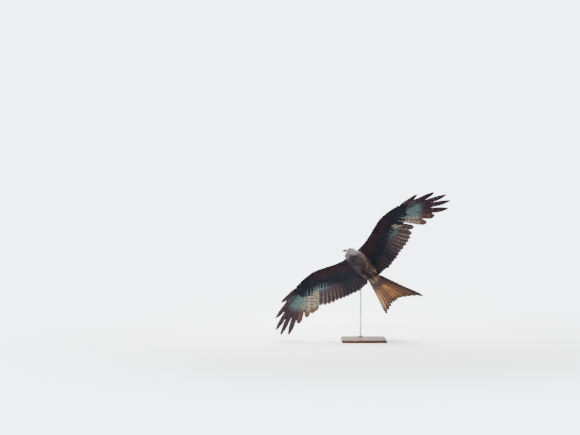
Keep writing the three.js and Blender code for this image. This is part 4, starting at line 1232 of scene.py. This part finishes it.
def head_share(points):
    """How far a place belongs to the head, which turns to the bird's right."""
    return 1 - smooth(0.022, 0.055, from_head(points))


def feather_step(points):
    """How far apart the feathers stand at places on the skin."""
    local = moved(points, HEAD_BACK)
    away = from_head(points)
    step = mix(NECK_STEP, BODY_STEP, smooth(0.06, 0.12, away))
    step = mix(CROWN_STEP, step, smooth(0.026, 0.05, away))
    face = smooth(-0.004, 0.012, local[..., 1]) * smooth(0.045, 0.032, away)
    return mix(step, FACE_STEP, face)


def feather_lie(points):
    """The way the coat lies: back over the head, then along the body, the thighs and the tail."""
    back_of_head = turned([[0.0, -1.0, 0.0]], HEAD)
    body = np.tile([0.0, -1.0, 0.0], (len(points), 1))
    body[:, 0] += 0.25 * np.clip(points[:, 0] / 0.07, -1, 1) * smooth(0.0, 0.08, points[:, 1])
    lie = mix(body, back_of_head, head_share(points)[:, None])
    tail_way = turned([[0.0, -1.0, 0.0]], TAIL)
    lie = mix(lie, tail_way, smooth(-0.11, -0.15, points[:, 1])[:, None])
    out = np.abs(points[:, 0])
    lean = np.radians(COVERT_LEAN(out) - 10)
    wing_way = np.stack([np.sign(points[:, 0]) * np.cos(lean), -np.sin(lean), 0 * lean], axis=1)
    return unit(mix(lie, wing_way, smooth(0.055, 0.085, out)[:, None]))


def sow(points, steps):
    """Indices of points that are at least a step apart, taken in a shuffled order."""
    cell = float(steps.max())
    grid = {}
    chosen = []
    for k in draw.permutation(len(points)):
        p = points[k]
        step = steps[k]
        key = tuple(np.floor(p / cell).astype(int))
        near = [q for dx in (-1, 0, 1) for dy in (-1, 0, 1) for dz in (-1, 0, 1)
                for q in grid.get((key[0] + dx, key[1] + dy, key[2] + dz), ())]
        if all((p[0] - q[0]) ** 2 + (p[1] - q[1]) ** 2 + (p[2] - q[2]) ** 2 > step * step for q in near):
            grid.setdefault(key, []).append(p)
            chosen.append(k)
    return np.array(chosen)


def tuft_outline(t, point):
    """Outline of a small feather: round at the end, or drawn out to a point on the head."""
    blunt = covert_outline(t)
    sharp = mix(0.45, 1, smooth(0, 0.35, t)) * (1 - 0.85 * smooth(0.35, 1.0, t))
    return mix(blunt, sharp, point)


def body_centres(points):
    """Baking places on the unwrapped body: round it, and along it from tail to bill."""
    round_it = np.arctan2(points[:, 0], points[:, 2]) / math.tau + 0.5
    along = (points[:, 1] + 0.23) / 0.42
    return np.stack([0.01 + 0.98 * round_it, 0.01 + 0.98 * np.clip(along, 0, 1)], axis=-1)


def body_dyes(roots):
    """Ground and edge dyes of the small feathers of head and body."""
    grey = grey_share(roots)
    below = smooth(0.004, -0.012, roots[:, 2])
    light = mix(EDGE_RUFOUS, EDGE_BELOW, below[:, None])
    light = mix(light, CROWN_GREY * 1.15, grey[:, None])
    breast = smooth(0.0, -0.02, roots[:, 2]) * smooth(0.0, 0.03, roots[:, 1]) * (1 - grey)
    light = mix(light, THROAT_GREY * 0.5, (breast * 0.6)[:, None])
    flank = below * smooth(0.005, 0.040, -roots[:, 0]) * smooth(0.10, 0.04, roots[:, 1]) * (1 - grey)
    streak = flank * (draw.uniform(0, 1, len(roots)) < 0.3) * smooth(-0.165, -0.145, roots[:, 1])
    ground = mix(body_ground(roots), VENT_BUFF * 0.5, (streak * 0.6)[:, None])
    light = mix(light, VENT_BUFF * 0.8, (streak * 0.8)[:, None])
    spot = buff_end(roots[:, 0], roots[:, 1], roots[:, 2])
    light = mix(light, BELLY_BROWN, (under_tail(roots[:, 1], roots[:, 2]) * 0.7)[:, None])
    light = mix(light, VENT_BUFF * 1.5, spot[:, None])
    mottle = mix(1.0, draw.uniform(0.45, 1.75, len(roots)), below * (1 - grey) * (1 - spot))[:, None]
    ground, light = ground * mottle, light * mottle
    inside = 0.012 * smooth(0.090, 0.110, roots[:, 1]) + 0.016 * smooth(-0.065, -0.095, roots[:, 1])
    shoulder = smooth(0.042, 0.060, np.abs(roots[:, 0]) - inside)[:, None]
    wing_ground, wing_light = margin_dyes(roots)
    return mix(ground, wing_ground, shoulder), mix(light, wing_light, shoulder)


def margin_dyes(roots):
    """Dyes of the small feathers round the leading edge of the wing."""
    out, ahead, above = np.abs(roots[:, 0]), roots[:, 1], roots[:, 2]
    over = smooth(0.001, 0.007, above - sheet(out, ahead))[:, None]
    ground = mix(covert_ground(out, ahead, -1), covert_ground(out, ahead, 1), over)
    return ground, mix(COVERT_EDGE, ABOVE_BUFF, over)


def contour_mesh(name, roots, normals, longs, wides, pointed, deep, dyes, centres, rim_share=0.55):
    """Feathers that grow from the roots along the skin, rising through the coat's depth to their tips."""
    t = TUFT_STATIONS
    lie = feather_lie(roots)
    lie = lie + 0.10 * draw.normal(size=lie.shape)
    lie = unit(lie - normals * (lie * normals).sum(1, keepdims=True))
    spine = np.empty((len(roots), len(t), 3))
    up = np.empty_like(spine)
    for k in range(len(roots)):
        at = roots[k]
        way = lie[k]
        for j, share in enumerate(t):
            if j:
                at = at + way * (longs[k] * (share - t[j - 1]))
            spot, normal, _, _ = skin_tree.find_nearest(Vector(at))
            normal = np.array(normal)
            at = np.array(spot)
            way = unit(way - normal * way.dot(normal))
            spine[k, j] = at + normal * (0.0004 + deep[k] * (0.12 + 0.88 * share))
            up[k, j] = normal
    tangent = unit(np.gradient(spine, axis=1))
    side_way = unit(np.cross(tangent, up))
    up = unit(np.cross(side_way, tangent))
    wide = wides[:, None] / 2 * tuft_outline(t[None, :], pointed[:, None])
    ground, light = dyes
    tint = draw.uniform(0.78, 1.22, len(roots))[:, None, None, None]
    rim = pale_rim(t, 0.7, 0.5, smooth(0.3, 0.8, t)) * rim_share
    dye = mix(ground[:, None, None, :] * tint, light[:, None, None, :], rim)
    return weave_small(name, spine, side_way, up, wide, t, TUFT_CAMBER, TUFT_THICK, dye, centres)


local_points = moved(skin_points, HEAD_BACK)
near_eye = np.minimum(*(np.linalg.norm(local_points - EYE_PLACE * (side, 1, 1), axis=1) for side in (1, -1)))
near_bill = np.linalg.norm(local_points - BILL_MIDDLE, axis=1) < BILL_BARE
bare = (near_eye < EYE_RADIUS - 0.0006) | (near_bill & (local_points[:, 1] > BILL_ROOT))
off_body = np.abs(skin_points[:, 0]) > BODY_HALF
free = np.flatnonzero(~bare & ~off_body)
grown = free[sow(skin_points[free], feather_step(skin_points[free]))]
against = -(feather_lie(skin_points[grown]) * skin_normals[grown]).sum(1)
grown = grown[(against < 0.55) | (np.abs(skin_points[grown, 0]) < 0.048)]
roots = skin_points[grown]
steps = feather_step(roots)
of_head = grey_share(roots)
face = smooth(0.0040, 0.0030, steps)
longs = steps * mix(3.3, 2.4, face) * draw.uniform(0.85, 1.15, len(roots))
wides = steps * mix(1.75, 1.15, smooth(0.1, 0.9, of_head)) * draw.uniform(0.9, 1.1, len(roots))
deep = np.minimum(mix(COAT_ON_BODY, COAT_ON_HEAD, head_share(roots)) * 0.85, longs * 0.28)
head_finish = plumage_finish(
    "head_feathers", 0.7, 0.0006, 5.0, tone(90, 86, 84), 0.14, tone(66, 60, 58), 0.8, 0.1)
body_finish = plumage_finish(
    "body_feathers", 0.68, 0.0008, 7.0, tone(60, 44, 36), 0.2, tone(36, 28, 26), 0.75, 0.08)
for name, chosen, finish, slot in (
        ("head_feathers", of_head > 0.5, head_finish, "plumage_head"),
        ("body_feathers", of_head <= 0.5, body_finish, "plumage_body")):
    there = roots[chosen]
    made = contour_mesh(
        name, there, skin_normals[grown][chosen], longs[chosen], wides[chosen],
        smooth(0.2, 0.8, of_head[chosen]), deep[chosen], body_dyes(there), body_centres(there))
    place_piece(made, name, finish)

# Marginal coverts: the smallest feathers of the wing, round its leading edge on both faces. They grow from
# the skin as the contour feathers do, in the finish of the other coverts.
MARGIN_DEEP = 0.0022
MARGIN_FROM = 0.047
MARGIN_TO = 0.493


def margin_step(out):
    """How far apart they stand, closer towards the wing's end."""
    return mix(0.0050, 0.0040, smooth(0.15, 0.45, out))


out = np.abs(skin_points[:, 0])
ahead = WING(np.minimum(out, WING_END), 1) - skin_points[:, 1]
near_edge = ahead < mix(0.016, 0.008, smooth(0.3, 0.48, out))
on_margin = np.flatnonzero((out > MARGIN_FROM) & (out < MARGIN_TO) & near_edge)
grown_there = on_margin[sow(skin_points[on_margin], margin_step(out[on_margin]))]
for side, name in ((1, "right"), (-1, "left")):
    chosen = grown_there[skin_points[grown_there, 0] * side > 0]
    roots = skin_points[chosen]
    out = np.abs(roots[:, 0])
    steps = margin_step(out)
    count = len(roots)
    centres = wing_centres(roots[:, 2] > sheet(out, roots[:, 1]), side, out, roots[:, 1])
    longs = steps * 2.7 * draw.uniform(0.85, 1.15, count)
    made = contour_mesh(
        f"marginal_coverts_{name}", roots, skin_normals[chosen], longs, steps * 1.6, np.zeros(count),
        np.full(count, MARGIN_DEEP), margin_dyes(roots), centres, 0.4)
    place_piece(made, f"marginal_coverts_{name}", covert_finish)

# Tail coverts: long soft feathers over and under the root of the tail, and the trousers, which hang from the
# thighs over the shanks of the folded feet.
RUMP_FAN = 0.74
LONGER_BELOW = 0.022
SOFT_CAMBER = 0.12
SOFT_THICK = (0.0004, 0.001)
# Rows of [count, length in the middle, length at the sides, root ahead of the tail's place, width]
TAIL_COVERT_ROWS = [
    (15, 0.124, 0.086, 0.0, 0.024),
    (13, 0.092, 0.066, 0.004, 0.022),
    (11, 0.052, 0.044, 0.010, 0.020),
]
# Rows of [place along the lower thigh, length, distance out]
TROUSER_RINGS = [(0.45, 0.040, 0.0118), (0.72, 0.038, 0.0105), (0.98, 0.030, 0.0085)]
TROUSER_COUNT = 11
TROUSER_HALF = 0.0058
TROUSER_CAMBER = 0.2
TROUSER_THICK = (0.0003, 0.0008)
VENT_BELOW = tone(38, 29, 25)
RUMP_ABOVE = tone(88, 47, 22)
TROUSER_BROWN = tone(44, 33, 28)


def long_outline(t):
    return mix(0.5, 1, smooth(0, 0.3, t)) * (1 - 0.86 * smooth(0.45, 1.05, t))


def tail_covert_mesh():
    """Rows of long coverts over the tail's root and then under it, in the tail's own frame."""
    t = COVERT_STATIONS
    rim = pale_rim(t, 0.75, 0.5, 0.6) * 0.3
    vanes = []
    for face in (1, -1):
        for order, (count, middle_long, side_long, at, width) in enumerate(TAIL_COVERT_ROWS):
            for k in range(count):
                share = (k - (count - 1) / 2) / ((count - 1) / 2)
                a = TAIL_SPREAD * RUMP_FAN * share + draw.uniform(-0.02, 0.02)
                root = np.array([0.024 * share, 0.006 + at])
                longer_below = (LONGER_BELOW if face < 0 else 0.0) * (1 - 0.3 * order)
                long = mix(middle_long, side_long, abs(share)) + longer_below
                long += draw.uniform(-0.014, 0.008)
                way = np.array([math.sin(a), -math.cos(a)])
                off = mix(0.0070 - 0.0036 * abs(share), 0.0052 + 0.0014 * order, t) + 0.0012 * order
                spine = np.column_stack([root + np.outer(t, way) * long, face * off])
                side_way = np.tile([-way[1], way[0], 0.04], (len(t), 1))
                up = np.tile([0.0, 0.0, face], (len(t), 1))
                wide = width / 2 * long_outline(t) * draw.uniform(0.92, 1.08)
                ground = (VENT_BELOW if face < 0 else RUMP_ABOVE) * draw.uniform(0.6, 1.3)
                place = moved([[root[0], root[1], face * 0.01]], TAIL)[0]
                vanes.append((spine, side_way, up, wide, mix(ground, RUMP_ABOVE, rim), place))
    spine, side_way, up, wide, dye, roots = (np.array(parts) for parts in zip(*vanes))
    spine = moved(spine.reshape(-1, 3), TAIL).reshape(spine.shape)
    return weave_small(
        "tail_coverts", spine, turned(side_way, TAIL), turned(up, TAIL), wide, t, SOFT_CAMBER, SOFT_THICK,
        dye, body_centres(roots))


def trouser_mesh():
    """Feathers in rings round each shank, from the end of the thigh towards the toes."""
    t = COVERT_STATIONS
    rim = pale_rim(t, 0.7, 0.0, 0.0) * 0.4
    vanes = []
    for side in (1, -1):
        for ring, (start, long, out) in enumerate(TROUSER_RINGS):
            centre = mix(np.array(THIGH_PATH[1]), np.array(THIGH_PATH[2]), start) * (side, 1, 1)
            for k in range(TROUSER_COUNT):
                a = math.tau * (k + 0.5 * (ring % 2)) / TROUSER_COUNT + draw.uniform(-0.1, 0.1)
                outward = np.array([math.sin(a), 0.0, -math.cos(a)])
                way = np.array([-0.07 * side, -1.0, 0.16])
                path = centre + outward * out + np.outer(t * long, way)
                path += outward * (0.003 * np.sin(t * math.pi) - 0.0032 * t)[:, None]
                side_way = np.tile(unit(np.cross(way, outward)), (len(t), 1))
                up = np.tile(outward, (len(t), 1))
                ground = TROUSER_BROWN * draw.uniform(0.75, 1.25)
                dye = mix(ground, EDGE_BELOW, rim)
                vanes.append((path, side_way, up, TROUSER_HALF * covert_outline(t), dye, path[0]))
    spine, side_way, up, wide, dye, roots = (np.array(parts) for parts in zip(*vanes))
    return weave_small(
        "trousers", spine, side_way, up, wide, t, TROUSER_CAMBER, TROUSER_THICK, dye, body_centres(roots))


soft_finish = plumage_finish(
    "soft_feather", 0.66, 0.0009, 7.0, tone(60, 44, 36), 0.2, tone(40, 29, 23), 0.7, 0.03)
place_piece(tail_covert_mesh(), "tail_coverts", soft_finish)
place_piece(trouser_mesh(), "trousers", soft_finish)

# Eyes: glass balls with a pale amber iris round a dark pupil, set deep under the brow. Thin lids of bare
# skin, dull yellow and creased, hold each ball in a rim that is pointed ahead of the eye and behind it.
EYE_AIM = math.radians(12.0)
LID_HIGH = 0.0044
LID_LONG = 0.0052
LID_THICK = 0.0005
HARD_EDGE = math.radians(50)


def grid_mesh(name, rows, caps=True):
    """A mesh through closed rings of as many points each, in the bird's frame, moved to its place."""
    rows = np.asarray(rows, float)
    count, around = rows.shape[:2]
    faces = []
    for i in range(count - 1):
        for j in range(around):
            k = (j + 1) % around
            faces.append((i * around + j, i * around + k, (i + 1) * around + k, (i + 1) * around + j))
    if caps:
        faces.append(tuple(range(around))[::-1])
        faces.append(tuple(range((count - 1) * around, count * around)))
    made = bpy.data.meshes.new(name)
    made.from_pydata(moved(rows.reshape(-1, 3), BIRD).tolist(), [], faces)
    shape = bmesh.new()
    shape.from_mesh(made)
    bmesh.ops.recalc_face_normals(shape, faces=shape.faces)
    shape.to_mesh(made)
    shape.free()
    made.polygons.foreach_set("use_smooth", [True] * len(made.polygons))
    made.set_sharp_from_angle(angle=HARD_EDGE)
    return made


def joined_mesh(name, meshes):
    """Several meshes as one, with the paint of each."""
    shape = bmesh.new()
    for mesh in meshes:
        shape.from_mesh(mesh)
    made = bpy.data.meshes.new(name)
    shape.to_mesh(made)
    shape.free()
    for mesh in meshes:
        bpy.data.meshes.remove(mesh)
    made.polygons.foreach_set("use_smooth", [True] * len(made.polygons))
    return made


def on_head(side, local):
    """Places of the head's right half, or their mirror images on its left, in the bird's frame."""
    return moved(np.asarray(local, float) * (side, 1, 1), HEAD)


def eye_axes():
    """The right eye's directions out, ahead and above, in the head's frame."""
    out = np.array([math.cos(EYE_AIM), math.sin(EYE_AIM), 0.05])
    out /= np.linalg.norm(out)
    ahead = unit(np.cross(np.array([0.0, 0.0, 1.0]), out))
    return out, ahead, np.cross(out, ahead)


def eye_mesh(side):
    """A glass ball with a slight bulge over the iris, painted with the angle from its middle."""
    out, ahead, above = eye_axes()
    turns = np.radians(np.concatenate([np.linspace(0.5, 50, 26), np.linspace(54, 179, 18)]))
    around = np.linspace(0, math.tau, 40, endpoint=False)
    rows = []
    for a in turns:
        bulge = 0.0006 * math.exp(-(math.degrees(a) / 26) ** 4)
        r = EYE_RADIUS + bulge
        ring = EYE_PLACE + r * (math.cos(a) * out + math.sin(a) * (
            np.outer(np.cos(around), ahead) + np.outer(np.sin(around), above)))
        rows.append(on_head(side, ring))
    mesh = grid_mesh("eye", rows)
    add_paint(mesh, "ring", "FLOAT", np.repeat(np.degrees(turns), len(around)))
    return mesh


def lid_mesh(side):
    """Upper and lower lid as one rim that is drawn to a point ahead of the eye and behind it."""
    out, ahead, above = eye_axes()
    around = np.linspace(0, math.tau, 56, endpoint=False)
    rows = []
    for a in around:
        long = LID_LONG * math.cos(a)
        high = LID_HIGH * math.copysign(abs(math.sin(a)) ** 0.85, math.sin(a))
        deep = math.sqrt(max((EYE_RADIUS + 0.0002) ** 2 - long ** 2 - high ** 2, 1e-8))
        centre = EYE_PLACE + long * ahead + high * above + deep * out
        outward = unit(long * ahead + high * above)
        thick = LID_THICK * (1.35 if math.sin(a) > 0 else 1.0)
        b = np.linspace(0, math.tau, 12, endpoint=False)
        tube = centre + np.outer(np.cos(b), outward) * thick * 1.2 + np.outer(np.sin(b), out) * thick * 0.7
        rows.append(on_head(side, tube + outward * thick * 0.7))
    rows.append(rows[0])
    return grid_mesh("lids", rows, caps=False)


eye_finish, tree, shader = new_finish("eye_glass", 0.06, 0.6)
ring = read_paint(tree, "ring")["Fac"]
amber = mixed(tree, add_noise(tree, 900.0, 4.0), tone(176, 140, 66), tone(112, 72, 28))
pupil = step_between(tree, ring, 21.0, 19.0)
rim = step_between(tree, ring, 41.0, 47.0)
seen_eye = mixed(tree, reckon(tree, "MAXIMUM", pupil, rim), amber, (0.004, 0.004, 0.005))
tree.links.new(seen_eye, shader.inputs["Base Color"])
shader.inputs["Coat Weight"].default_value = 1.0
shader.inputs["Coat Roughness"].default_value = 0.02

lid_finish, tree, shader = new_finish("lid_skin", 0.5, 0.4)
creases = add_noise(tree, 1600.0, 3.0)
cover(tree, shader, mixed(tree, creases, tone(120, 100, 62), tone(66, 54, 40)), creases, 0.4, 0.0002)

for side, name in ((1, "right"), (-1, "left")):
    place_piece(eye_mesh(side), f"eyeball_{name}", eye_finish, [f"eye_{name}"])
    place_piece(lid_mesh(side), f"lids_{name}", lid_finish)

# Bill: horn over bone, yellow at its root, where the cere holds the nostrils, and slate black at the hook.
# The lower half shuts behind the hook, and a lip of waxy yellow skin runs back from both to the mouth's
# corner.
NOSTRIL = np.array([0.0072, 0.0335, 0.0036])
NOSTRIL_SIZE = (0.0016, 0.0024, 0.0013)
NOSTRIL_DEEP = 0.0016
LIP_SIZE = 0.0011
# Rows of [share, forward, height, half width, half height]
UPPER_BILL = through([
    [0.00, 0.0205, 0.0006, 0.0090, 0.0088],
    [0.20, 0.0282, 0.0014, 0.0088, 0.0090],
    [0.40, 0.0370, 0.0015, 0.0081, 0.0088],
    [0.60, 0.0452, 0.0005, 0.0071, 0.0083],
    [0.76, 0.0529, -0.0028, 0.0057, 0.0071],
    [0.90, 0.0580, -0.0092, 0.0036, 0.0046],
    [1.00, 0.0585, -0.0180, 0.0008, 0.0009],
])
LOWER_BILL = through([
    [0.0, 0.0190, -0.0090, 0.0078, 0.0042],
    [0.4, 0.0332, -0.0094, 0.0070, 0.0042],
    [0.8, 0.0448, -0.0098, 0.0054, 0.0034],
    [1.0, 0.0518, -0.0112, 0.0021, 0.0015],
])
# Front and back end of the corner of the mouth: [forward, height]
MOUTH_FRONT = (0.0355, -0.0058)
MOUTH_BACK = (0.0080, -0.0062)


def bill_half(path, steps, keel):
    """One half of the bill as rings along its path, with a ridge above or a keel below."""
    a = np.linspace(0, math.tau, 40, endpoint=False)
    rows = []
    for t in np.linspace(0, 1, steps):
        y, z, wide, tall = (float(path(t, k)) for k in (1, 2, 3, 4))
        dy, dz = (float(path(min(t + 0.01, 1), k) - path(max(t - 0.01, 0), k)) for k in (1, 2))
        lean = math.atan2(dz, dy)
        up = np.cos(a) * tall
        pinch = 1 - 0.22 * np.clip(keel * np.cos(a), 0, 1) ** 2
        across = np.sin(a) * wide * pinch
        rows.append(np.stack([across, y - math.sin(lean) * up, z + math.cos(lean) * up], axis=1))
    return np.array(rows)


def bill_mesh(name, path, steps, keel, nostrils):
    """One half of the bill as a mesh, painted with how far forward it is and where its nostrils are."""
    rows = bill_half(path, steps, keel)
    hole = np.zeros(rows.shape[:2])
    if nostrils:
        for side in (1, -1):
            away = (rows - NOSTRIL * (side, 1, 1)) / NOSTRIL_SIZE
            dent = np.exp(-(away ** 2).sum(-1))
            rows[..., 0] -= side * NOSTRIL_DEEP * dent
            hole = np.maximum(hole, dent)
    mesh = grid_mesh(name, moved(rows.reshape(-1, 3), HEAD).reshape(rows.shape))
    add_paint(mesh, "forward", "FLOAT", rows[..., 1])
    add_paint(mesh, "hole", "FLOAT", hole)
    return mesh


horn_finish, tree, shader = new_finish("bill_horn", 0.42, 0.35)
grain = add_noise(tree, 420.0, 6.0)
broken = reckon(tree, "MULTIPLY_ADD", grain, 0.006, read_paint(tree, "forward")["Fac"])
yellow = mixed(tree, grain, tone(168, 130, 54), tone(132, 98, 40))
horn = mixed(tree, step_between(tree, broken, 0.0350, 0.0435), yellow, tone(24, 23, 25))
# The nostrils' dents are painted dark brown, as the shade inside them.
nostril_shade = step_between(tree, read_paint(tree, "hole")["Fac"], 0.45, 0.8)
cover(tree, shader, mixed(tree, nostril_shade, horn, tone(46, 30, 18)), grain, 0.25, 0.0003)
shader.inputs["Coat Weight"].default_value = 0.12
shader.inputs["Coat Roughness"].default_value = 0.3

upper = bill_mesh("upper_bill", UPPER_BILL, 60, 1, True)
place_piece(upper, "upper_bill", horn_finish, ["bill_upper"])
lower = bill_mesh("lower_bill", LOWER_BILL, 36, -1, False)
place_piece(lower, "lower_bill", horn_finish, ["bill_lower"])

wax_finish, tree, shader = new_finish("waxy_skin", 0.42, 0.5)
pores = add_noise(tree, 1400.0, 4.0)
cover(tree, shader, mixed(tree, pores, tone(212, 168, 62), tone(176, 132, 44)), pores, 0.4, 0.0003)
shader.inputs["Subsurface Weight"].default_value = 0.1
shader.inputs["Subsurface Radius"].default_value = (0.002, 0.001, 0.0005)

gapes = []
for side in (1, -1):
    out, above = turned([[side, 0, 0], [0, 0, 1]], HEAD)
    rows = []
    for t in np.linspace(0, 1, 26):
        y = mix(MOUTH_FRONT[0], MOUTH_BACK[0], t)
        z = mix(MOUTH_FRONT[1], MOUTH_BACK[1], t) - 0.0008 * math.sin(math.pi * t)
        start = on_head(side, [[0.0074, y, z]])[0]
        if y < 0.024:
            x = mix(0.012, 0.0225, smooth(0.024, 0.008, y))
            spot, normal, _, _ = skin_tree.find_nearest(Vector(on_head(side, [[x, y, z]])[0]))
            start = np.array(spot) + np.array(normal) * 0.0006
        b = np.linspace(0, math.tau, 10, endpoint=False)
        size = LIP_SIZE * (1 - 0.75 * smooth(0.75, 1.0, t)) * (0.6 + 0.4 * smooth(0.0, 0.2, t))
        rows.append(start + np.outer(np.cos(b), out) * size * 0.8 + np.outer(np.sin(b), above) * size)
    gapes.append(grid_mesh("gape", rows))
place_piece(joined_mesh("mouth_corners", gapes), "mouth_corners", wax_finish)

# Feet: folded back against the vent, the toes half closed. Yellow scales cover them, in rings of plates along
# the shank and the toes, and each toe ends in a black hooked claw.
ANKLE = np.array([0.019, -0.108, -0.0425])
KNUCKLE = np.array([0.015, -0.151, -0.033])
SHANK_PLATE = 0.0036
TOE_PLATE = 0.0026
SHANK_THICK = (0.0046, 0.0040, 0.0054)
CLAW_THICK = (0.0024, 0.0016, 0.0003)
# Rows of [out, back, up, thickness] of each toe's end from the knuckle
TOES = [
    (-0.009, 0.027, 0.0025, 0.0034),
    (0.000, 0.033, 0.0020, 0.0036),
    (0.009, 0.027, 0.0025, 0.0034),
    (0.001, 0.015, -0.0070, 0.0034),
]


def scaled_limb(points, radii, steps, plate):
    """Rings of a limb whose plates stand out in steps along it."""
    rows = np.array(limb_rings(points, radii, 18, steps))
    centres = rows.mean(axis=1, keepdims=True)
    run = np.concatenate([[0], np.cumsum(np.linalg.norm(np.diff(centres[:, 0], axis=0), axis=1))])
    step = (run / plate) % 1.0
    swell = 1 + 0.07 * (1 - step) ** 0.5
    return centres + (rows - centres) * swell[:, None, None]


scale_finish, tree, shader = new_finish("foot_scales", 0.5, 0.45)
place = add_node(tree, "ShaderNodeTexCoord").outputs["Object"]
cells = add_node(tree, "ShaderNodeTexVoronoi", {"Vector": place, "Scale": 700.0}, feature="DISTANCE_TO_EDGE")
groove = step_between(tree, cells.outputs["Distance"], 0.0, 0.14)
mottled = mixed(tree, add_noise(tree, 240.0, 4.0, place), tone(126, 95, 46), tone(92, 66, 34))
cover(tree, shader, mixed(tree, groove, tone(66, 46, 26), mottled), groove, 0.6, 0.0004)

claw_finish, tree, shader = new_finish("claw_horn", 0.28, 0.5)
grain = add_noise(tree, 500.0, 5.0)
cover(tree, shader, mixed(tree, grain, tone(22, 20, 20), tone(54, 48, 44)), grain, 0.2, 0.0002)

for side, name in ((1, "right"), (-1, "left")):
    mirror = np.array([side, 1, 1])
    middle = (ANKLE + KNUCKLE) / 2 + (0, 0, -0.0015)
    path = [ANKLE * mirror, middle * mirror, KNUCKLE * mirror]
    limbs = [grid_mesh("shank", scaled_limb(path, SHANK_THICK, 46, SHANK_PLATE))]
    claws = []
    for out, back, up, thick in TOES:
        end = KNUCKLE + (out, -back, up)
        bend = (KNUCKLE + end) / 2 + (out * 0.25, 0, -0.005)
        path = [KNUCKLE * mirror, bend * mirror, end * mirror]
        toe = scaled_limb(path, (0.0042, thick * 0.96, thick * 0.8), 34, TOE_PLATE)
        limbs.append(grid_mesh("toe", toe))
        tip = end + (-out * 0.25, -0.005, 0.0068)
        hook = (end + tip) / 2 + (0, -0.0022, -0.0016)
        path = [mix(end, bend, 0.15) * mirror, hook * mirror, tip * mirror]
        claws.append(grid_mesh("claw", limb_rings(path, CLAW_THICK, 16, 22)))
    foot = joined_mesh(f"scaled_foot_{name}", limbs)
    place_piece(foot, f"scaled_foot_{name}", scale_finish, [f"foot_{name}"])
    place_piece(joined_mesh(f"claws_{name}", claws), f"claws_{name}", claw_finish)

# Stand: a lacquered walnut board with a moulded edge carries a turned steel collar and post, and an arm that
# holds the bird from behind by a hole in its back.
BASE_HALF = (0.170, 0.140)
BASE_CORNER = 0.018
# Rows of [inset from the edge, height] up the moulded edge
BASE_EDGE = [
    (0.0030, 0.0000), (0.0012, 0.0008), (0.0004, 0.0020), (0.0, 0.0040), (0.0, 0.0100),
    (0.0006, 0.0118), (0.0022, 0.0128), (0.0040, 0.0132), (0.0046, 0.0140), (0.0050, 0.0158),
    (0.0062, 0.0178), (0.0082, 0.0192), (0.0110, 0.0199), (0.0130, 0.0200),
]
BASE_SHARP = math.radians(32)
CORNER_STEPS = 12
wood_finish, tree, shader = new_finish("walnut", 0.62, 0.12)
place = add_node(tree, "ShaderNodeTexCoord").outputs["Object"]
stretched = add_node(tree, "ShaderNodeMapping", {"Vector": place, "Scale": (1.2, 9.0, 9.0)}).outputs[0]
warp = add_node(tree, "ShaderNodeTexNoise", {"Vector": stretched, "Scale": 4.0, "Detail": 6.0})
warped = add_node(tree, "ShaderNodeVectorMath", {0: stretched, 1: warp.outputs["Color"]}, operation="ADD")
year_rings = add_node(tree, "ShaderNodeTexWave", {
    "Vector": warped.outputs[0], "Scale": 2.2, "Distortion": 3.5,
    "Detail": 4.0, "Detail Scale": 1.6}, bands_direction="Y")
fibre_place = add_node(tree, "ShaderNodeMapping", {"Vector": place, "Scale": (40.0, 900.0, 900.0)}).outputs[0]
fibre = add_noise(tree, 1.0, 4.0, fibre_place)
walnut = mixed(tree, year_rings.outputs["Fac"], tone(96, 62, 42), tone(52, 33, 23))
fibred = mixed(tree, step_between(tree, fibre, 0.5, 0.75), walnut, tone(38, 24, 17))
cover(tree, shader, fibred, fibre, 0.15, 0.0003)
shader.inputs["Coat Weight"].default_value = 0.06
shader.inputs["Coat Roughness"].default_value = 0.35

rows = []
for inset, height in BASE_EDGE:
    ring = []
    for corner, (sx, sy) in enumerate(((1, 1), (-1, 1), (-1, -1), (1, -1))):
        for k in range(CORNER_STEPS + 1):
            a = math.radians(90 * corner + 90 * k / CORNER_STEPS)
            r = BASE_CORNER - inset
            x = sx * (BASE_HALF[0] - BASE_CORNER) + r * math.cos(a)
            y = sy * (BASE_HALF[1] - BASE_CORNER) + r * math.sin(a)
            ring.append((x, y, height))
    rows.append(ring)
rows = np.array(rows)
base_mesh = grid_mesh("base_board", moved(rows.reshape(-1, 3), np.linalg.inv(BIRD)).reshape(rows.shape))
base_mesh.set_sharp_from_angle(angle=BASE_SHARP)
place_piece(base_mesh, "base_board", wood_finish, ["stand_base"])

steel_finish, tree, shader = new_finish("satin_steel", 0.32, 0.5)
place = add_node(tree, "ShaderNodeTexCoord").outputs["Object"]
drawn = add_node(tree, "ShaderNodeMapping", {"Vector": place, "Scale": (1800.0, 1800.0, 40.0)}).outputs[0]
brush = add_noise(tree, 1.0, 3.0, drawn)
cover(tree, shader, mixed(tree, brush, (0.50, 0.51, 0.52), (0.36, 0.37, 0.38)), brush, 0.08, 0.0002)
gloss = drawn_out(tree, add_noise(tree, 30.0, 3.0, place), 0.24, 0.4)
tree.links.new(gloss, shader.inputs["Roughness"])
shader.inputs["Metallic"].default_value = 1.0
for name in ("stand_collar", "stand_post", "stand_arm"):
    bar_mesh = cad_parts[name].data
    bar_mesh.materials.clear()
    bar_mesh.materials.append(steel_finish)
